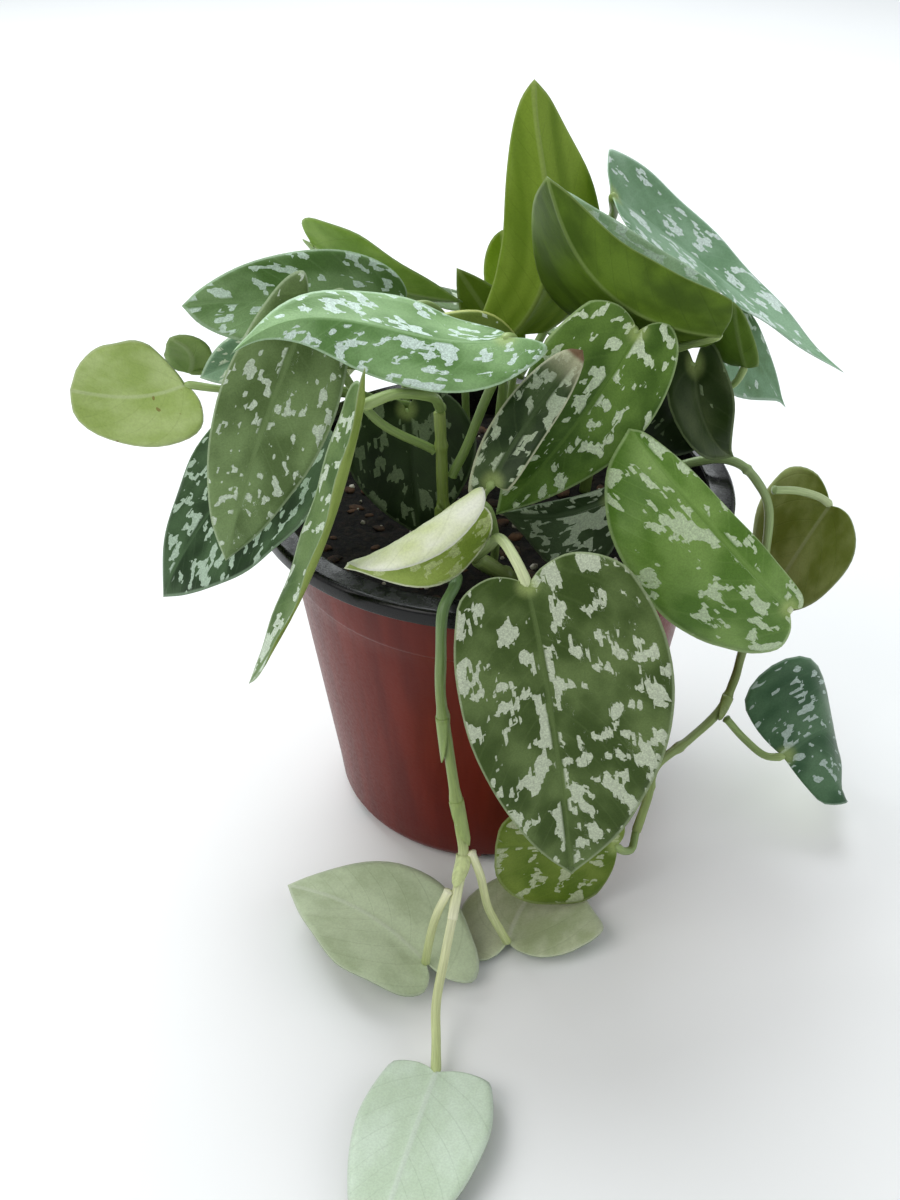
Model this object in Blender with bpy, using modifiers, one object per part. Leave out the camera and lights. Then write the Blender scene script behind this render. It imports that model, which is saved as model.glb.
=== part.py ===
"""A satin pothos growing in a thin-walled plastic nursery pot, with two vines trailing over the rim.

The pot's base centre is the origin, +Z is up, and the plant's front faces -Y.
Every leaf is one solid, its blade and its stalk, set a small gap off the stem or the soil it grows from.
"""

import math

import bmesh
import bpy
from mathutils import Vector

NAME = "potted_pothos_plant"
MM = 0.001

# Pot, in millimetres
POT_HEIGHT = 118.5
BODY_TOP_RADIUS = 68.4
LIP_WIDTH = 7.6
LIP_DEPTH = 4.9
RIM_RADIUS = BODY_TOP_RADIUS + LIP_WIDTH
BASE_RADIUS = 51.6
BASE_ROUND = 8.0
WALL = 1.4
STEP_DROP = 18.8
STEP_IN = 0.5
HOLE_RADIUS = 4.0
HOLE_COUNT = 6
POT_SEGMENTS = 48

# Soil
SOIL_DROP = 10.5
SOIL_CROWN = 0.8
SOIL_TOP = POT_HEIGHT - SOIL_DROP
GAP = 0.3

# Plant
LEAF_THICKNESS = 0.8
STALK_SCALE = 1.0
STEM_SCALE = 1.0
LEAF_ROWS = 8
LEAF_COLUMNS = 3

# The rim and the soil that the plant's key points are given for
KEY_RIM = 76.0
KEY_HEIGHT = 118.5
KEY_SOIL = 108.0
FOOT_HEIGHT = 40.0
NEAR_STEM = 7.0

# Half outline of a flat leaf, as (place along the midrib, share of the half width)
POINTED = [
    (0.0, 0.0), (-0.075, 0.13), (-0.12, 0.38), (-0.06, 0.68), (0.09, 0.90), (0.27, 1.0),
    (0.45, 0.93), (0.62, 0.74), (0.78, 0.48), (0.91, 0.21), (1.0, 0.0),
]
ROUNDED = [
    (0.0, 0.0), (-0.06, 0.20), (-0.08, 0.45), (-0.02, 0.74), (0.10, 0.93), (0.27, 1.0),
    (0.46, 0.99), (0.64, 0.90), (0.81, 0.72), (0.94, 0.42), (1.0, 0.0),
]

STEMS = []
LEAVES = []


def stem(name, radius, points):
    STEMS.append({"name": name, "radius": radius, "points": points})


def leaf(name, base, tip, face, width, stalk, r, **shape):
    """base: where the stalk joins; face: the way the upper side looks; width: over both halves."""
    LEAVES.append({"name": name, "base": base, "tip": tip, "face": face, "width": width,
                   "stalk": stalk, "r": r, **shape})


stem("stem_left", 2.5, [(-16, 6, 108.4), (-17, 4, 130), (-17, 2, 150)])
stem("stem_left_back", 2.1, [(-22, 20, 108.4), (-22, 20, 132), (-23, 21, 150)])
stem("stem_centre", 1.8, [(-15, -34, 108.4), (-16, -34, 129), (-16.5, -34, 148), (-17, -34, 160)])
stem("stem_front", 2.6, [(6, -46, 109.8), (0, -53, 118.5), (-6, -58, 126)])
stem("stem_middle", 2.2, [(6, 8, 108.4), (7, 9, 130), (8, 11, 146)])
stem("stem_right", 2.0, [(30, 10, 108.4), (32, 10, 130), (34, 12, 148)])
stem("vine_front", 1.7, [
    (-13, -46, 110), (-13, -57, 119), (-12, -66, 125), (-13, -74, 127), (-16, -80, 123),
    (-16.5, -83, 110), (-16.5, -84, 96), (-14, -85, 75), (-11, -87, 50), (-10, -90, 41), (-12, -96, 32),
    (-13.3, -100.5, 26)])
stem("vine_right", 1.6, [
    (46, 8, 109.8), (58, 8, 118), (70, 6, 122.5), (78, 4, 122), (84, 1, 117), (88, -2, 109),
    (88, -6, 95), (86, -10, 75), (83, -13, 58), (81, -16, 50), (76, -22, 42), (65, -32, 38),
    (53, -44, 37), (50, -50, 28), (46.5, -55.5, 19)])

# Leaves at the front
leaf("leaf_front", (6.3, -86.8, 136.6), (21.9, -95.4, 39.4), (0, -1, 0.11), 59,
     [(-6.3, -60.5, 129), (-3, -64, 134.5), (-1, -69, 140), (1, -78, 143.5), (4, -84, 141)], 1.6,
     bow=4, sway=-1.3, fold=(8, 0), cup=(15, 12), asym=-0.17, lobe=(0.4, 0.6), blunt=0.2)
leaf("leaf_right_large", (82.3, -65, 114.1), (35.7, -43.5, 160), (0.13, -0.81, 0.57), 34,
     [(86.5, -14.5, 86), (88, -32, 91), (84, -52, 102)], 1.4,
     bow=12.5, sway=-4.2, fold=(-2, -20), cup=(2, -13), asym=-0.6, lobe=(0.5, 1.8), blunt=(0.8, 1.2))
leaf("leaf_left_narrow", (-36.8, -69.3, 180.1), (-70.9, -77.1, 96.3), (-0.94, 0, 0.34), 21,
     [(-17, -36, 163), (-19, -48, 172), (-28, -61, 179.5)], 1.6,
     bow=-4.2, sway=-2.4, fold=(17, 5), cup=(34, 21), lobe=(0.5, 1.0), blunt=(0, 0.7))
leaf("leaf_left_large", (-53.3, -39, 190.4), (-80.2, -43.4, 115.6), (0.23, -0.8, 0.55), 32,
     [(-20.5, -34, 149), (-35, -36, 159), (-46, -37, 178)], 1.4,
     bow=7.1, sway=2.3, fold=(-6, -4), cup=(12, 13), asym=-0.1, lobe=(1.1, 1.1), blunt=(-0.2, 0.1))
leaf("leaf_left_dark", (-58.8, -15.4, 151.3), (-103.1, -30.9, 94.4), (-0.32, -0.63, 0.71), 53,
     [(-20.8, 3, 128), (-34, -2, 146), (-50, -10, 155)], 1.5,
     bow=3.9, sway=1.8, fold=(-3, 5), cup=(-2, 22), asym=-0.28, lobe=(0.7, 0.5), blunt=(0.5, 0.1))
leaf("leaf_centre", (0.5, -47.1, 188.9), (-70.3, -62.5, 191.2), (0.56, 0.15, 0.82), 34,
     [(-12.5, -33, 141), (-9, -33, 149), (-4, -34, 164), (1, -37, 178), (3, -42, 186)], 1.5,
     bow=4.5, sway=4.5, skew=1.6, twist=45, fold=(-8, -39), cup=(30, -14), asym=0.11,
     lobe=(0.4, 1.6), blunt=(1.0, -0.4))
leaf("leaf_young", (-9.9, -66.9, 150), (-43.7, -62.9, 126.3), (-0.27, -0.43, 0.86), 33,
     [(-1, -37, 108.8), (-1, -49, 128), (-4, -61, 145)], 1.3,
     bow=4.6, sway=-6.2, fold=(80, -47), cup=(182, -29), asym=-0.02, lobe=(0.8, 0.7), blunt=(0, -0.4))
leaf("leaf_middle", (-2.3, -57.2, 150.6), (22.2, -39.5, 181.8), (-0.16, -0.76, 0.63), 15,
     [(-5, -30, 108.9), (-6, -46, 130), (-5, -55, 145)], 1.3,
     sway=-1.3, fold=(7, 5), cup=(2, 8), asym=-0.13, lobe=(0.1, 1.2), blunt=(-0.2, 1.0))
leaf("leaf_low_middle", (34.3, -34.6, 132.9), (0.1, -24.8, 123.2), (-0.26, -0.72, 0.64), 25,
     [(34, -22, 108.8), (38, -24, 120), (38, -31, 130)], 1.3,
     bow=11, sway=-6.3, fold=(33, -38), cup=(17, 23), asym=-0.59, lobe=(0.9, 1.1), blunt=(1.0, -0.6))
leaf("leaf_middle_right", (37.7, -30, 183), (-0.8, -43.8, 131.9), (0.33, -0.82, 0.46), 38,
     [(10.5, 6, 132), (20, -5, 160), (31, -20, 181)], 1.5,
     bow=3.3, sway=-1.2, fold=(5, 11), cup=(-11, 8), asym=0.11, lobe=(0.5, 0.9), blunt=(0.4, -0.1))
leaf("leaf_inner_dark", (-27, -9, 148), (-23, -24, 112), (0, -0.85, 0.5), 40,
     [(-17.5, 1.3, 116), (-21, -5, 132)], 1.2,
     bow=3, fold=5, cup=8)

# Upper crown
leaf("leaf_upper_left", (-29.6, -5.9, 178.6), (-89, -22.6, 187.4), (0.43, -0.7, 0.58), 36,
     [(-16.5, 1.5, 153), (-14, 2, 168), (-20, -1, 178)], 1.5,
     bow=8.4, fold=(-5, 10), cup=(10, 27), asym=-0.15, lobe=(0.9, 0.6), blunt=(1.2, 0.4))
leaf("leaf_back_left", (-55, 24, 187), (-10, 14, 173), (0.1, 0.7, 0.65), 34,
     [(-23.5, 22, 153), (-36, 26, 171), (-50, 28, 184)], 1.4,
     bow=-4, fold=8, cup=8)
leaf("leaf_tall", (4.9, 8.7, 164.6), (9.9, 23.1, 236.8), (-0.28, 0.71, -0.65), 37,
     [(2.8, 6.5, 140), (2.5, 6.5, 152)], 1.6,
     bow=-7, sway=-5.8, skew=-0.8, fold=(22, 27), cup=(13, -11), asym=-0.21, lobe=(0.1, 0.1), blunt=(1, 0.4))
leaf("leaf_cupped", (61.5, -27.8, 180.9), (12.5, -16, 222), (0.77, 0.63, 0.08), 58,
     [(12, 9, 140), (30, 0, 154), (52, -17, 172)], 1.4,
     bow=-10, sway=6.8, fold=(11, 9), cup=(18, 34), asym=0.44, lobe=0.2, blunt=(1.1, 0.6))
leaf("leaf_draped", (24.1, 2.3, 204), (64.1, -6.8, 184.3), (-0.16, -0.82, 0.55), 18,
     [(34.1, 12.1, 149), (36, 12, 160), (36, 10, 180), (29, 5, 197)], 1.3,
     bow=2.3, sway=2.3, fold=(4, 6), cup=(10, 26), asym=0.46, lobe=(0.4, 1.7), blunt=(-0.2, 0.9))
leaf("leaf_upper_right", (34, 16.1, 205.5), (107.9, 8.8, 151.3), (0.76, -0.30, 0.58), 39,
     [(8.7, 13.5, 150), (15, 24, 157), (26, 32, 175), (35, 28, 193)], 1.5,
     bow=-9.8, sway=-17.6, fold=(12, -3), cup=(12, 21), asym=0.02, lobe=(0.2, 0.1), blunt=(1.2, -0.3))
leaf("leaf_sliver", (3, -14, 170), (-21, -16, 181), (0, -0.5, 0.8), 16,
     [(3.5, 3, 126), (4, -8, 150), (5, -12, 164)], 1.1,
     bow=1, fold=5, cup=8)

# Right side
leaf("leaf_back_right", (74.1, 25, 163.3), (97, 29.1, 129), (0.48, -0.65, 0.59), 26,
     [(37, 15, 148), (54, 24, 159), (66, 27, 165)], 1.2,
     fold=(-4, 1), cup=(13, 18), asym=0.44, lobe=(0.4, 0.7), blunt=(0.4, -0.6))
leaf("leaf_right_under", (76.4, 3.7, 156.2), (68.5, -5.3, 180.8), (0.25, 0.55, 0.8), 25,
     [(36.5, 11, 134), (58, 8, 143), (72, 4, 149)], 1.2,
     bow=-0.8, fold=(3, -8), cup=(31, 32), asym=0.6, lobe=(0.9, 0.1), blunt=(0.2, 0.7))
leaf("leaf_right_olive", (60.3, 1.8, 157.6), (75, -2.7, 128), (0.32, -0.88, 0.36), 22,
     [(35, 7, 144), (44, 4, 150), (55, 4, 156)], 1.3,
     bow=6, sway=7.3, fold=(22, 21), cup=(-8, 25), lobe=(1.1, 1.5), blunt=(0.5, -0.3))
leaf("leaf_shade", (58, 1, 143), (42, -9, 133), (0, -0.8, 0.5), 24,
     [(35.5, 6, 122), (47, 4, 135), (54, 3, 142)], 1.2,
     bow=2, fold=5, cup=8)
leaf("leaf_right_vine", (110.7, 7.4, 104.5), (95.5, 13.2, 60.2), (0.56, 0.67, -0.49), 44,
     [(91.5, 1, 114), (98, 4, 112), (106, 7, 108)], 1.4,
     bow=-0.4, sway=-0.4, fold=(-15, 0), cup=(-3, 22), asym=-0.11, lobe=(0.9, 1.3), blunt=(1.2, 0.5))

# Left side
leaf("leaf_far_left", (-95.3, 2.1, 150.9), (-133.3, 11.6, 144.5), (-0.08, 0.99, -0.12), 38,
     [(-26, 17, 136), (-50, 8, 145), (-80, 2, 149)], 1.3,
     bow=2.1, sway=4, fold=(-17, -18), cup=(23, -5), asym=-0.12, lobe=(1, 0.2), blunt=(1.2, 1.2))
leaf("leaf_small_left", (-96.1, 15.5, 148.5), (-99.3, 6.5, 164.1), (-0.08, 0.96, -0.27), 15,
     [(-27, 21, 144), (-56, 19, 150), (-86, 17, 148)], 1.0,
     sway=-3.5, fold=(10, -5), cup=(24, 15), asym=0.17, lobe=(0.7, 0.8), blunt=(1.2, 0.9))
leaf("leaf_left_teal", (-72, 4, 160), (-90, 0, 154), (0, -0.7, 0.6), 16,
     [(-27, 20, 149), (-48, 14, 160), (-66, 7, 161)], 1.1,
     bow=1, fold=5, cup=8)

# Behind the crown
leaf("leaf_back_small", (5, 34, 165), (2, 32, 189), (0, 0.9, -0.1), 15,
     [(5, 26, 108.8), (6, 30, 140), (6, 34, 158)], 1.1,
     bow=1, fold=5, cup=8, blunt=0.5)
leaf("leaf_back_olive", (4, 22, 155), (-12, 20, 181), (0, 0.9, 0.1), 17,
     [(0, 18, 108.5), (2, 21, 135), (4, 23, 148)], 1.1,
     bow=1, fold=5, cup=8)
leaf("leaf_back_low_left", (-34, 46, 150), (-52, 84, 112), (-0.3, 0.5, 0.8), 40,
     [(-27, 24, 118), (-29, 32, 138), (-31, 41, 149)], 1.4,
     bow=4, fold=8, cup=10)
leaf("leaf_back_low_right", (22, 44, 148), (34, 86, 118), (0.2, 0.5, 0.8), 44,
     [(12, 26, 108.6), (15, 32, 134), (18, 39, 147)], 1.4,
     bow=5, fold=8, cup=10)
leaf("leaf_back_middle", (-8, 40, 160), (-10, 76, 146), (0, 0.3, 0.9), 36,
     [(-8, 28, 108.6), (-9, 30, 136), (-9, 36, 157)], 1.4,
     bow=4, fold=8, cup=10)

# Leaves lying at the foot of the pot
leaf("leaf_floor_right", (98.5, -28.3, 27.3), (122.1, -5.7, 11.6), (0.35, -0.75, 0.56), 53,
     [(80, -23.5, 38), (85, -24, 32), (92, -27, 27)], 1.4,
     bow=6.8, sway=-7.8, fold=(7, -11), cup=(17, 3), asym=-0.06, lobe=(0.1, 0.4), blunt=(1.2, 0))
leaf("leaf_foot_green", (38.9, -65.5, 22), (-0.1, -82.7, 38.5), (-0.08, -0.87, 0.48), 35,
     [(46.2, -56, 18.2), (44.8, -60, 15.5), (41.5, -63.5, 18)], 1.4,
     sway=1.2, fold=(-18, -15), cup=(3, 8), asym=-0.26, lobe=(0.7, 0.6), blunt=(0.6, 1.2))
leaf("leaf_foot_pale", (4.1, -88.9, 3.2), (26.5, -51.5, 2.4), (0.14, 0, -1), 47,
     [(-6.9, -90.1, 40.6), (-4.8, -91, 34), (-2.4, -91, 21), (2, -90, 9)], 1.4,
     sway=3.8, fold=(0, -1), cup=(-2, -2), asym=-0.21, lobe=(1.9, 1.1), blunt=(0.5, -0.2))
leaf("leaf_floor_left", (-21.5, -101.2, 7.4), (-65.9, -70.9, 9.7), (0, 0, -1), 46,
     [(-15.4, -96.7, 31.2), (-17.6, -98, 26.5), (-19.5, -99.5, 20), (-21, -101.5, 12)], 1.4,
     bow=-3.6, sway=-2.7, fold=(-6, -7), cup=(-7, -9), lobe=(0.9, 1.7), blunt=(-0.5, 0.1))
leaf("leaf_floor_front", (-18, -140, 5), (-36, -204, 4), (0, 0, -1), 37,
     [(-13.5, -101, 25.3), (-15.5, -108, 18.5), (-18, -119, 11), (-18, -130, 6.5)], 1.5,
     bow=-2, cup=-8, lobe=0.3, asym=0.1)


def placed(point):
    """A key point of the plant, carried along when the pot is made wider or taller.

    What lies at the pot's foot keeps its height, and what crosses the rim rises with the rim.
    """
    x, y, z = point
    spread = RIM_RADIUS / KEY_RIM
    with_soil = SOIL_TOP - KEY_SOIL
    with_rim = POT_HEIGHT - KEY_HEIGHT
    over_rim = min(max((math.hypot(x, y) - 45) / 20, 0), 1)
    lift = with_soil + (with_rim - with_soil) * over_rim
    if z < KEY_SOIL:
        lift *= max(z - FOOT_HEIGHT, 0) / (KEY_SOIL - FOOT_HEIGHT)
    return Vector((x * spread, y * spread, z + lift))


def nearest_on_stem(point):
    """The nearest place on any stem's middle line, and how far it is."""
    found = (None, 1e9)
    for spec in STEMS:
        for on_stem in spec["line"]:
            away = (point - on_stem).length
            if away < found[1]:
                found = (on_stem, away)
    return found


def attached(point, radius):
    """The start of a stalk: it keeps its distance from its stem when the pot or the stem changes."""
    point = Vector(point)
    middle, away = nearest_on_stem(point)
    if away > NEAR_STEM:
        return placed(point)
    thicker = 2.2 * (STEM_SCALE - 1) + 0.5 * radius * (STALK_SCALE - 1)
    return placed(middle) + (point - middle) * (1 + thicker / away)


def smooth_at(points, place):
    """The Catmull-Rom curve through the points, at a place from 0 to 1."""
    count = len(points)
    ends = [2 * points[0] - points[1], *points, 2 * points[-1] - points[-2]]
    scaled = place * (count - 1)
    index = min(int(scaled), count - 2)
    f = scaled - index
    a, b, c, d = ends[index:index + 4]
    line = 2 * b + (c - a) * f
    curve = (2 * a - 5 * b + 4 * c - d) * f ** 2 + (3 * b - a - 3 * c + d) * f ** 3
    return 0.5 * (line + curve)


def smooth_path(points, per_span):
    """Points along the smooth curve through the given ones."""
    count = per_span * (len(points) - 1)
    return [smooth_at(points, i / count) for i in range(count + 1)]


def both(value):
    """One value for each half of a leaf: right, then left."""
    return value if isinstance(value, tuple) else (value, value)


class Blade:
    """The curved surface of one leaf."""

    def __init__(self, spec):
        self.base = placed(spec["base"])
        self.tip = placed(spec["tip"])
        self.length = (self.tip - self.base).length
        self.along = (self.tip - self.base).normalized()
        face = Vector(spec["face"])
        self.up = (face - face.dot(self.along) * self.along).normalized()
        self.across = self.along.cross(self.up)
        self.width = spec["width"]
        self.bow = spec.get("bow", 0)
        self.sway = spec.get("sway", 0)
        self.skew = spec.get("skew", 0)
        self.twist = math.radians(spec.get("twist", 0))
        self.fold = [math.radians(a) for a in both(spec.get("fold", 0))]
        self.cup = [math.radians(a) for a in both(spec.get("cup", 0))]
        self.asym = spec.get("asym", 0)
        self.lobe = both(spec.get("lobe", 1.0))
        blunt = both(spec.get("blunt", 0))
        self.margin = [
            Vector(p).lerp(Vector(q), blunt[0] if p[0] < 0.2 else blunt[1])
            for p, q in zip(POINTED, ROUNDED)
        ]

    def midrib(self, u):
        """The midrib at a place u: 0 at the stalk, 1 at the tip."""
        if u < 0:
            rise = 4 * u * (1 - self.skew)
        else:
            rise = 4 * u * (1 - u) * (1 + self.skew * (2 * u - 1))
        return (self.base + u * self.length * self.along
                + rise * self.bow * self.up + rise * self.sway * self.across)

    def point(self, u, w):
        """A point of the surface: u along, w across in half widths, with the right half positive."""
        ahead = (self.midrib(u + 0.001) - self.midrib(u - 0.001)).normalized()
        side = (self.across - self.across.dot(ahead) * ahead).normalized()
        up = side.cross(ahead)
        turn = self.twist * (max(u, 0) - 0.3)
        out = side * math.cos(turn) + up * math.sin(turn)
        top = up * math.cos(turn) - side * math.sin(turn)
        half = 0 if w >= 0 else 1
        sign = 1 - 2 * half
        reach = self.width / 2 * (1 + sign * self.asym)
        start = self.fold[half]
        bend = self.cup[half] if abs(self.cup[half]) > 0.001 else 0.001
        end = start + bend * abs(w)
        sideways = reach * (math.sin(end) - math.sin(start)) / bend
        height = reach * (math.cos(start) - math.cos(end)) / bend
        return self.midrib(u) + out * sideways * sign + top * height

    def at(self, t, v):
        """A point by place t along the outline and share v from the midrib (0) to the margin (1 or -1)."""
        edge = smooth_at(self.margin, t)
        s, w = edge
        if s < 0:
            s *= self.lobe[0 if v >= 0 else 1]
        start = max(0.0, (t - 0.25) / 0.75) ** 1.5
        return self.point(start + (s - start) * abs(v) ** 1.5, w * v)


def material(name, colour, roughness):
    made = bpy.data.materials.new(name)
    made.use_nodes = True
    shader = made.node_tree.nodes["Principled BSDF"]
    shader.inputs["Base Color"].default_value = (*colour, 1)
    shader.inputs["Roughness"].default_value = roughness
    return made


def keep(name, mesh, collection, mat=None):
    """Puts a mesh into the scene as one named object."""
    mesh.name = name
    made = bpy.data.objects.new(name, mesh)
    collection.objects.link(made)
    if mat:
        mesh.materials.clear()
        mesh.materials.append(mat)
    return made


def shade_smooth(obj):
    for face in obj.data.polygons:
        face.use_smooth = True


def evaluated_mesh(obj):
    graph = bpy.context.evaluated_depsgraph_get()
    return bpy.data.meshes.new_from_object(obj.evaluated_get(graph))


def weld(mesh, distance=0.00001):
    bm = bmesh.new()
    bm.from_mesh(mesh)
    bmesh.ops.remove_doubles(bm, verts=bm.verts, dist=distance)
    bmesh.ops.recalc_face_normals(bm, faces=bm.faces)
    bm.to_mesh(mesh)
    bm.free()


def tube_mesh(name, points, radius, collection, per_span=3):
    """A round stem along the smooth curve through the points, closed at both ends."""
    path = smooth_path(points, per_span)
    curve = bpy.data.curves.new(name, "CURVE")
    curve.dimensions = "3D"
    curve.bevel_depth = radius * MM
    curve.bevel_resolution = 1
    curve.use_fill_caps = True
    spline = curve.splines.new("POLY")
    spline.points.add(len(path) - 1)
    for target, point in zip(spline.points, path):
        target.co = (*(point * MM), 1)
    guide = bpy.data.objects.new(name, curve)
    collection.objects.link(guide)
    bpy.context.view_layer.update()
    mesh = evaluated_mesh(guide)
    bpy.data.objects.remove(guide)
    bpy.data.curves.remove(curve)
    weld(mesh)
    return mesh


def blade_mesh(name, blade, collection):
    """The blade as a thin solid."""
    bm = bmesh.new()
    bmesh.ops.create_grid(bm, x_segments=LEAF_ROWS, y_segments=2 * LEAF_COLUMNS, size=0.5)
    for vert in bm.verts:
        vert.co = blade.at(vert.co.x + 0.5, 2 * vert.co.y) * MM
    bmesh.ops.remove_doubles(bm, verts=bm.verts, dist=0.00001)
    bmesh.ops.recalc_face_normals(bm, faces=bm.faces)
    sheet = bpy.data.meshes.new(name)
    bm.to_mesh(sheet)
    bm.free()
    obj = keep(name, sheet, collection)
    thick = obj.modifiers.new("thickness", "SOLIDIFY")
    thick.thickness = LEAF_THICKNESS * MM
    thick.offset = 0
    mesh = evaluated_mesh(obj)
    bpy.data.objects.remove(obj)
    weld(mesh)
    return mesh


def join_solids(obj, other):
    """Joins a second solid to an object and removes the second."""
    union = obj.modifiers.new("join", "BOOLEAN")
    union.operation = "UNION"
    union.solver = "EXACT"
    union.use_self = True
    union.object = other
    bpy.context.view_layer.update()
    mesh = evaluated_mesh(obj)
    obj.modifiers.clear()
    obj.data = mesh
    bpy.data.objects.remove(other)
    weld(obj.data)


def build_leaf(spec, collection):
    name = spec["name"]
    blade = Blade(spec)
    mat = material(name, spec.get("colour", (0.10, 0.22, 0.08)), 0.45)
    obj = keep(name, blade_mesh(name, blade, collection), collection, mat)
    start = attached(spec["stalk"][0], spec["r"])
    stalk_points = [start] + [placed(p) for p in (*spec["stalk"][1:], spec["base"])]
    stalk = tube_mesh(name + "_stalk", stalk_points, spec["r"] * STALK_SCALE, collection, 2)
    join_solids(obj, keep(name + "_stalk", stalk, collection, mat))
    shade_smooth(obj)


def build_stem(spec, collection):
    radius = spec["radius"] * STEM_SCALE
    mesh = tube_mesh(spec["name"], [placed(p) for p in spec["points"]], radius, collection)
    mat = material(spec["name"], (0.30, 0.42, 0.16), 0.5)
    shade_smooth(keep(spec["name"], mesh, collection, mat))


def turned(name, profile, collection, mat):
    """A closed round solid from a half profile that starts and ends on the axis, base first."""
    mesh = bpy.data.meshes.new(name)
    verts = [(r * MM, 0, z * MM) for r, z in reversed(profile)]
    mesh.from_pydata(verts, [(i, i + 1) for i in range(len(verts) - 1)], [])
    obj = keep(name, mesh, collection)
    screw = obj.modifiers.new("turn", "SCREW")
    screw.axis = "Z"
    screw.steps = POT_SEGMENTS
    screw.render_steps = POT_SEGMENTS
    screw.use_merge_vertices = True
    screw.merge_threshold = 0.00001
    mesh = evaluated_mesh(obj)
    obj.modifiers.clear()
    obj.data = mesh
    weld(obj.data)
    obj.data.materials.clear()
    obj.data.materials.append(mat)
    shade_smooth(obj)
    return obj


def body_radius(z):
    """Outside radius of the pot's wall at a height."""
    top = POT_HEIGHT - LIP_DEPTH
    radius = BASE_RADIUS + (BODY_TOP_RADIUS - BASE_RADIUS) * z / top
    return radius if z > top - STEP_DROP else radius - STEP_IN


def outside_profile():
    """The outside from the base's centre up to the lip."""
    points = [(0, 0)]
    for i in range(5):
        a = math.radians(-90 + 78 * i / 4)
        centre = body_radius(BASE_ROUND) - BASE_ROUND * math.cos(math.radians(12))
        points.append((centre + BASE_ROUND * math.cos(a), BASE_ROUND * (1 + math.sin(a))))
    step = POT_HEIGHT - LIP_DEPTH - STEP_DROP
    points.append((body_radius(step - 0.8), step - 0.8))
    points.append((body_radius(step + 0.01), step))
    return points


def lip_profile():
    """The rolled lip, from the wall's outside, over the top, to its inside edge."""
    under = POT_HEIGHT - WALL
    skirt = RIM_RADIUS - WALL
    return [
        (BODY_TOP_RADIUS + 0.5, under), (skirt, under), (skirt, POT_HEIGHT - LIP_DEPTH),
        (RIM_RADIUS, POT_HEIGHT - LIP_DEPTH), (RIM_RADIUS, POT_HEIGHT - 0.9),
        (RIM_RADIUS - 0.9, POT_HEIGHT), (BODY_TOP_RADIUS - 0.2, POT_HEIGHT),
        (BODY_TOP_RADIUS - WALL, POT_HEIGHT - 1.2),
    ]


def inside_profile(inset, top, floor):
    """The inside from a height down to the floor's centre, moved in by an inset."""
    corner = floor + BASE_ROUND * 0.7
    return [
        (body_radius(top) - WALL - inset, top),
        (body_radius(corner) - WALL - inset - 0.5, corner),
        (body_radius(corner) - WALL - inset - 2.6, floor + 2.4),
        (body_radius(corner) - WALL - inset - 7.0, floor),
        (0, floor),
    ]


def build_pot(collection, cutters):
    mat = material("pot", (0.30, 0.045, 0.03), 0.35)
    profile = outside_profile() + lip_profile() + inside_profile(0, POT_HEIGHT - 6, WALL)
    pot = turned("pot", profile, collection, mat)
    for i in range(HOLE_COUNT):
        angle = math.radians(-90 + 360 * i / HOLE_COUNT)
        bm = bmesh.new()
        bmesh.ops.create_cone(bm, cap_ends=True, segments=12, radius1=HOLE_RADIUS * MM,
                              radius2=HOLE_RADIUS * MM, depth=16 * MM)
        mesh = bpy.data.meshes.new("drain")
        bm.to_mesh(mesh)
        bm.free()
        drain = keep(f"drain_{i + 1}", mesh, cutters)
        reach = (BASE_RADIUS - 6.0) * MM
        drain.location = (reach * math.cos(angle), reach * math.sin(angle), 0)
        drain.rotation_euler = (0, math.radians(40), angle)
        drain.hide_render = True
        drain.display_type = "WIRE"
        cut = pot.modifiers.new(drain.name, "BOOLEAN")
        cut.operation = "DIFFERENCE"
        cut.solver = "EXACT"
        cut.object = drain


def build_soil(collection):
    mat = material("soil", (0.012, 0.010, 0.008), 0.9)
    sides = inside_profile(GAP, SOIL_TOP - SOIL_CROWN, WALL + GAP)
    profile = list(reversed(sides)) + [(30 * RIM_RADIUS / KEY_RIM, SOIL_TOP), (0, SOIL_TOP)]
    turned("soil", profile, collection, mat)


def clear_scene():
    for obj in list(bpy.data.objects):
        bpy.data.objects.remove(obj)


def collection_named(name):
    made = bpy.data.collections.new(name)
    bpy.context.scene.collection.children.link(made)
    return made


def main():
    clear_scene()
    plant = collection_named(NAME)
    cutters = collection_named("cutters")
    cutters.hide_render = True
    build_pot(plant, cutters)
    build_soil(plant)
    for spec in STEMS:
        spec["line"] = smooth_path([Vector(p) for p in spec["points"]], 12)
        build_stem(spec, plant)
    for spec in LEAVES:
        build_leaf(spec, plant)


main()
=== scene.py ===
"""A potted satin pothos: fine leaves, vines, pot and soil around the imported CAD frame.

Key points are in millimetres, in the CAD's frame: the pot's base centre is the origin,
+Z is up and the plant's front faces -Y.
"""

import math
import random
from statistics import NormalDist

import bmesh
import bpy
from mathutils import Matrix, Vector, noise


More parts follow.
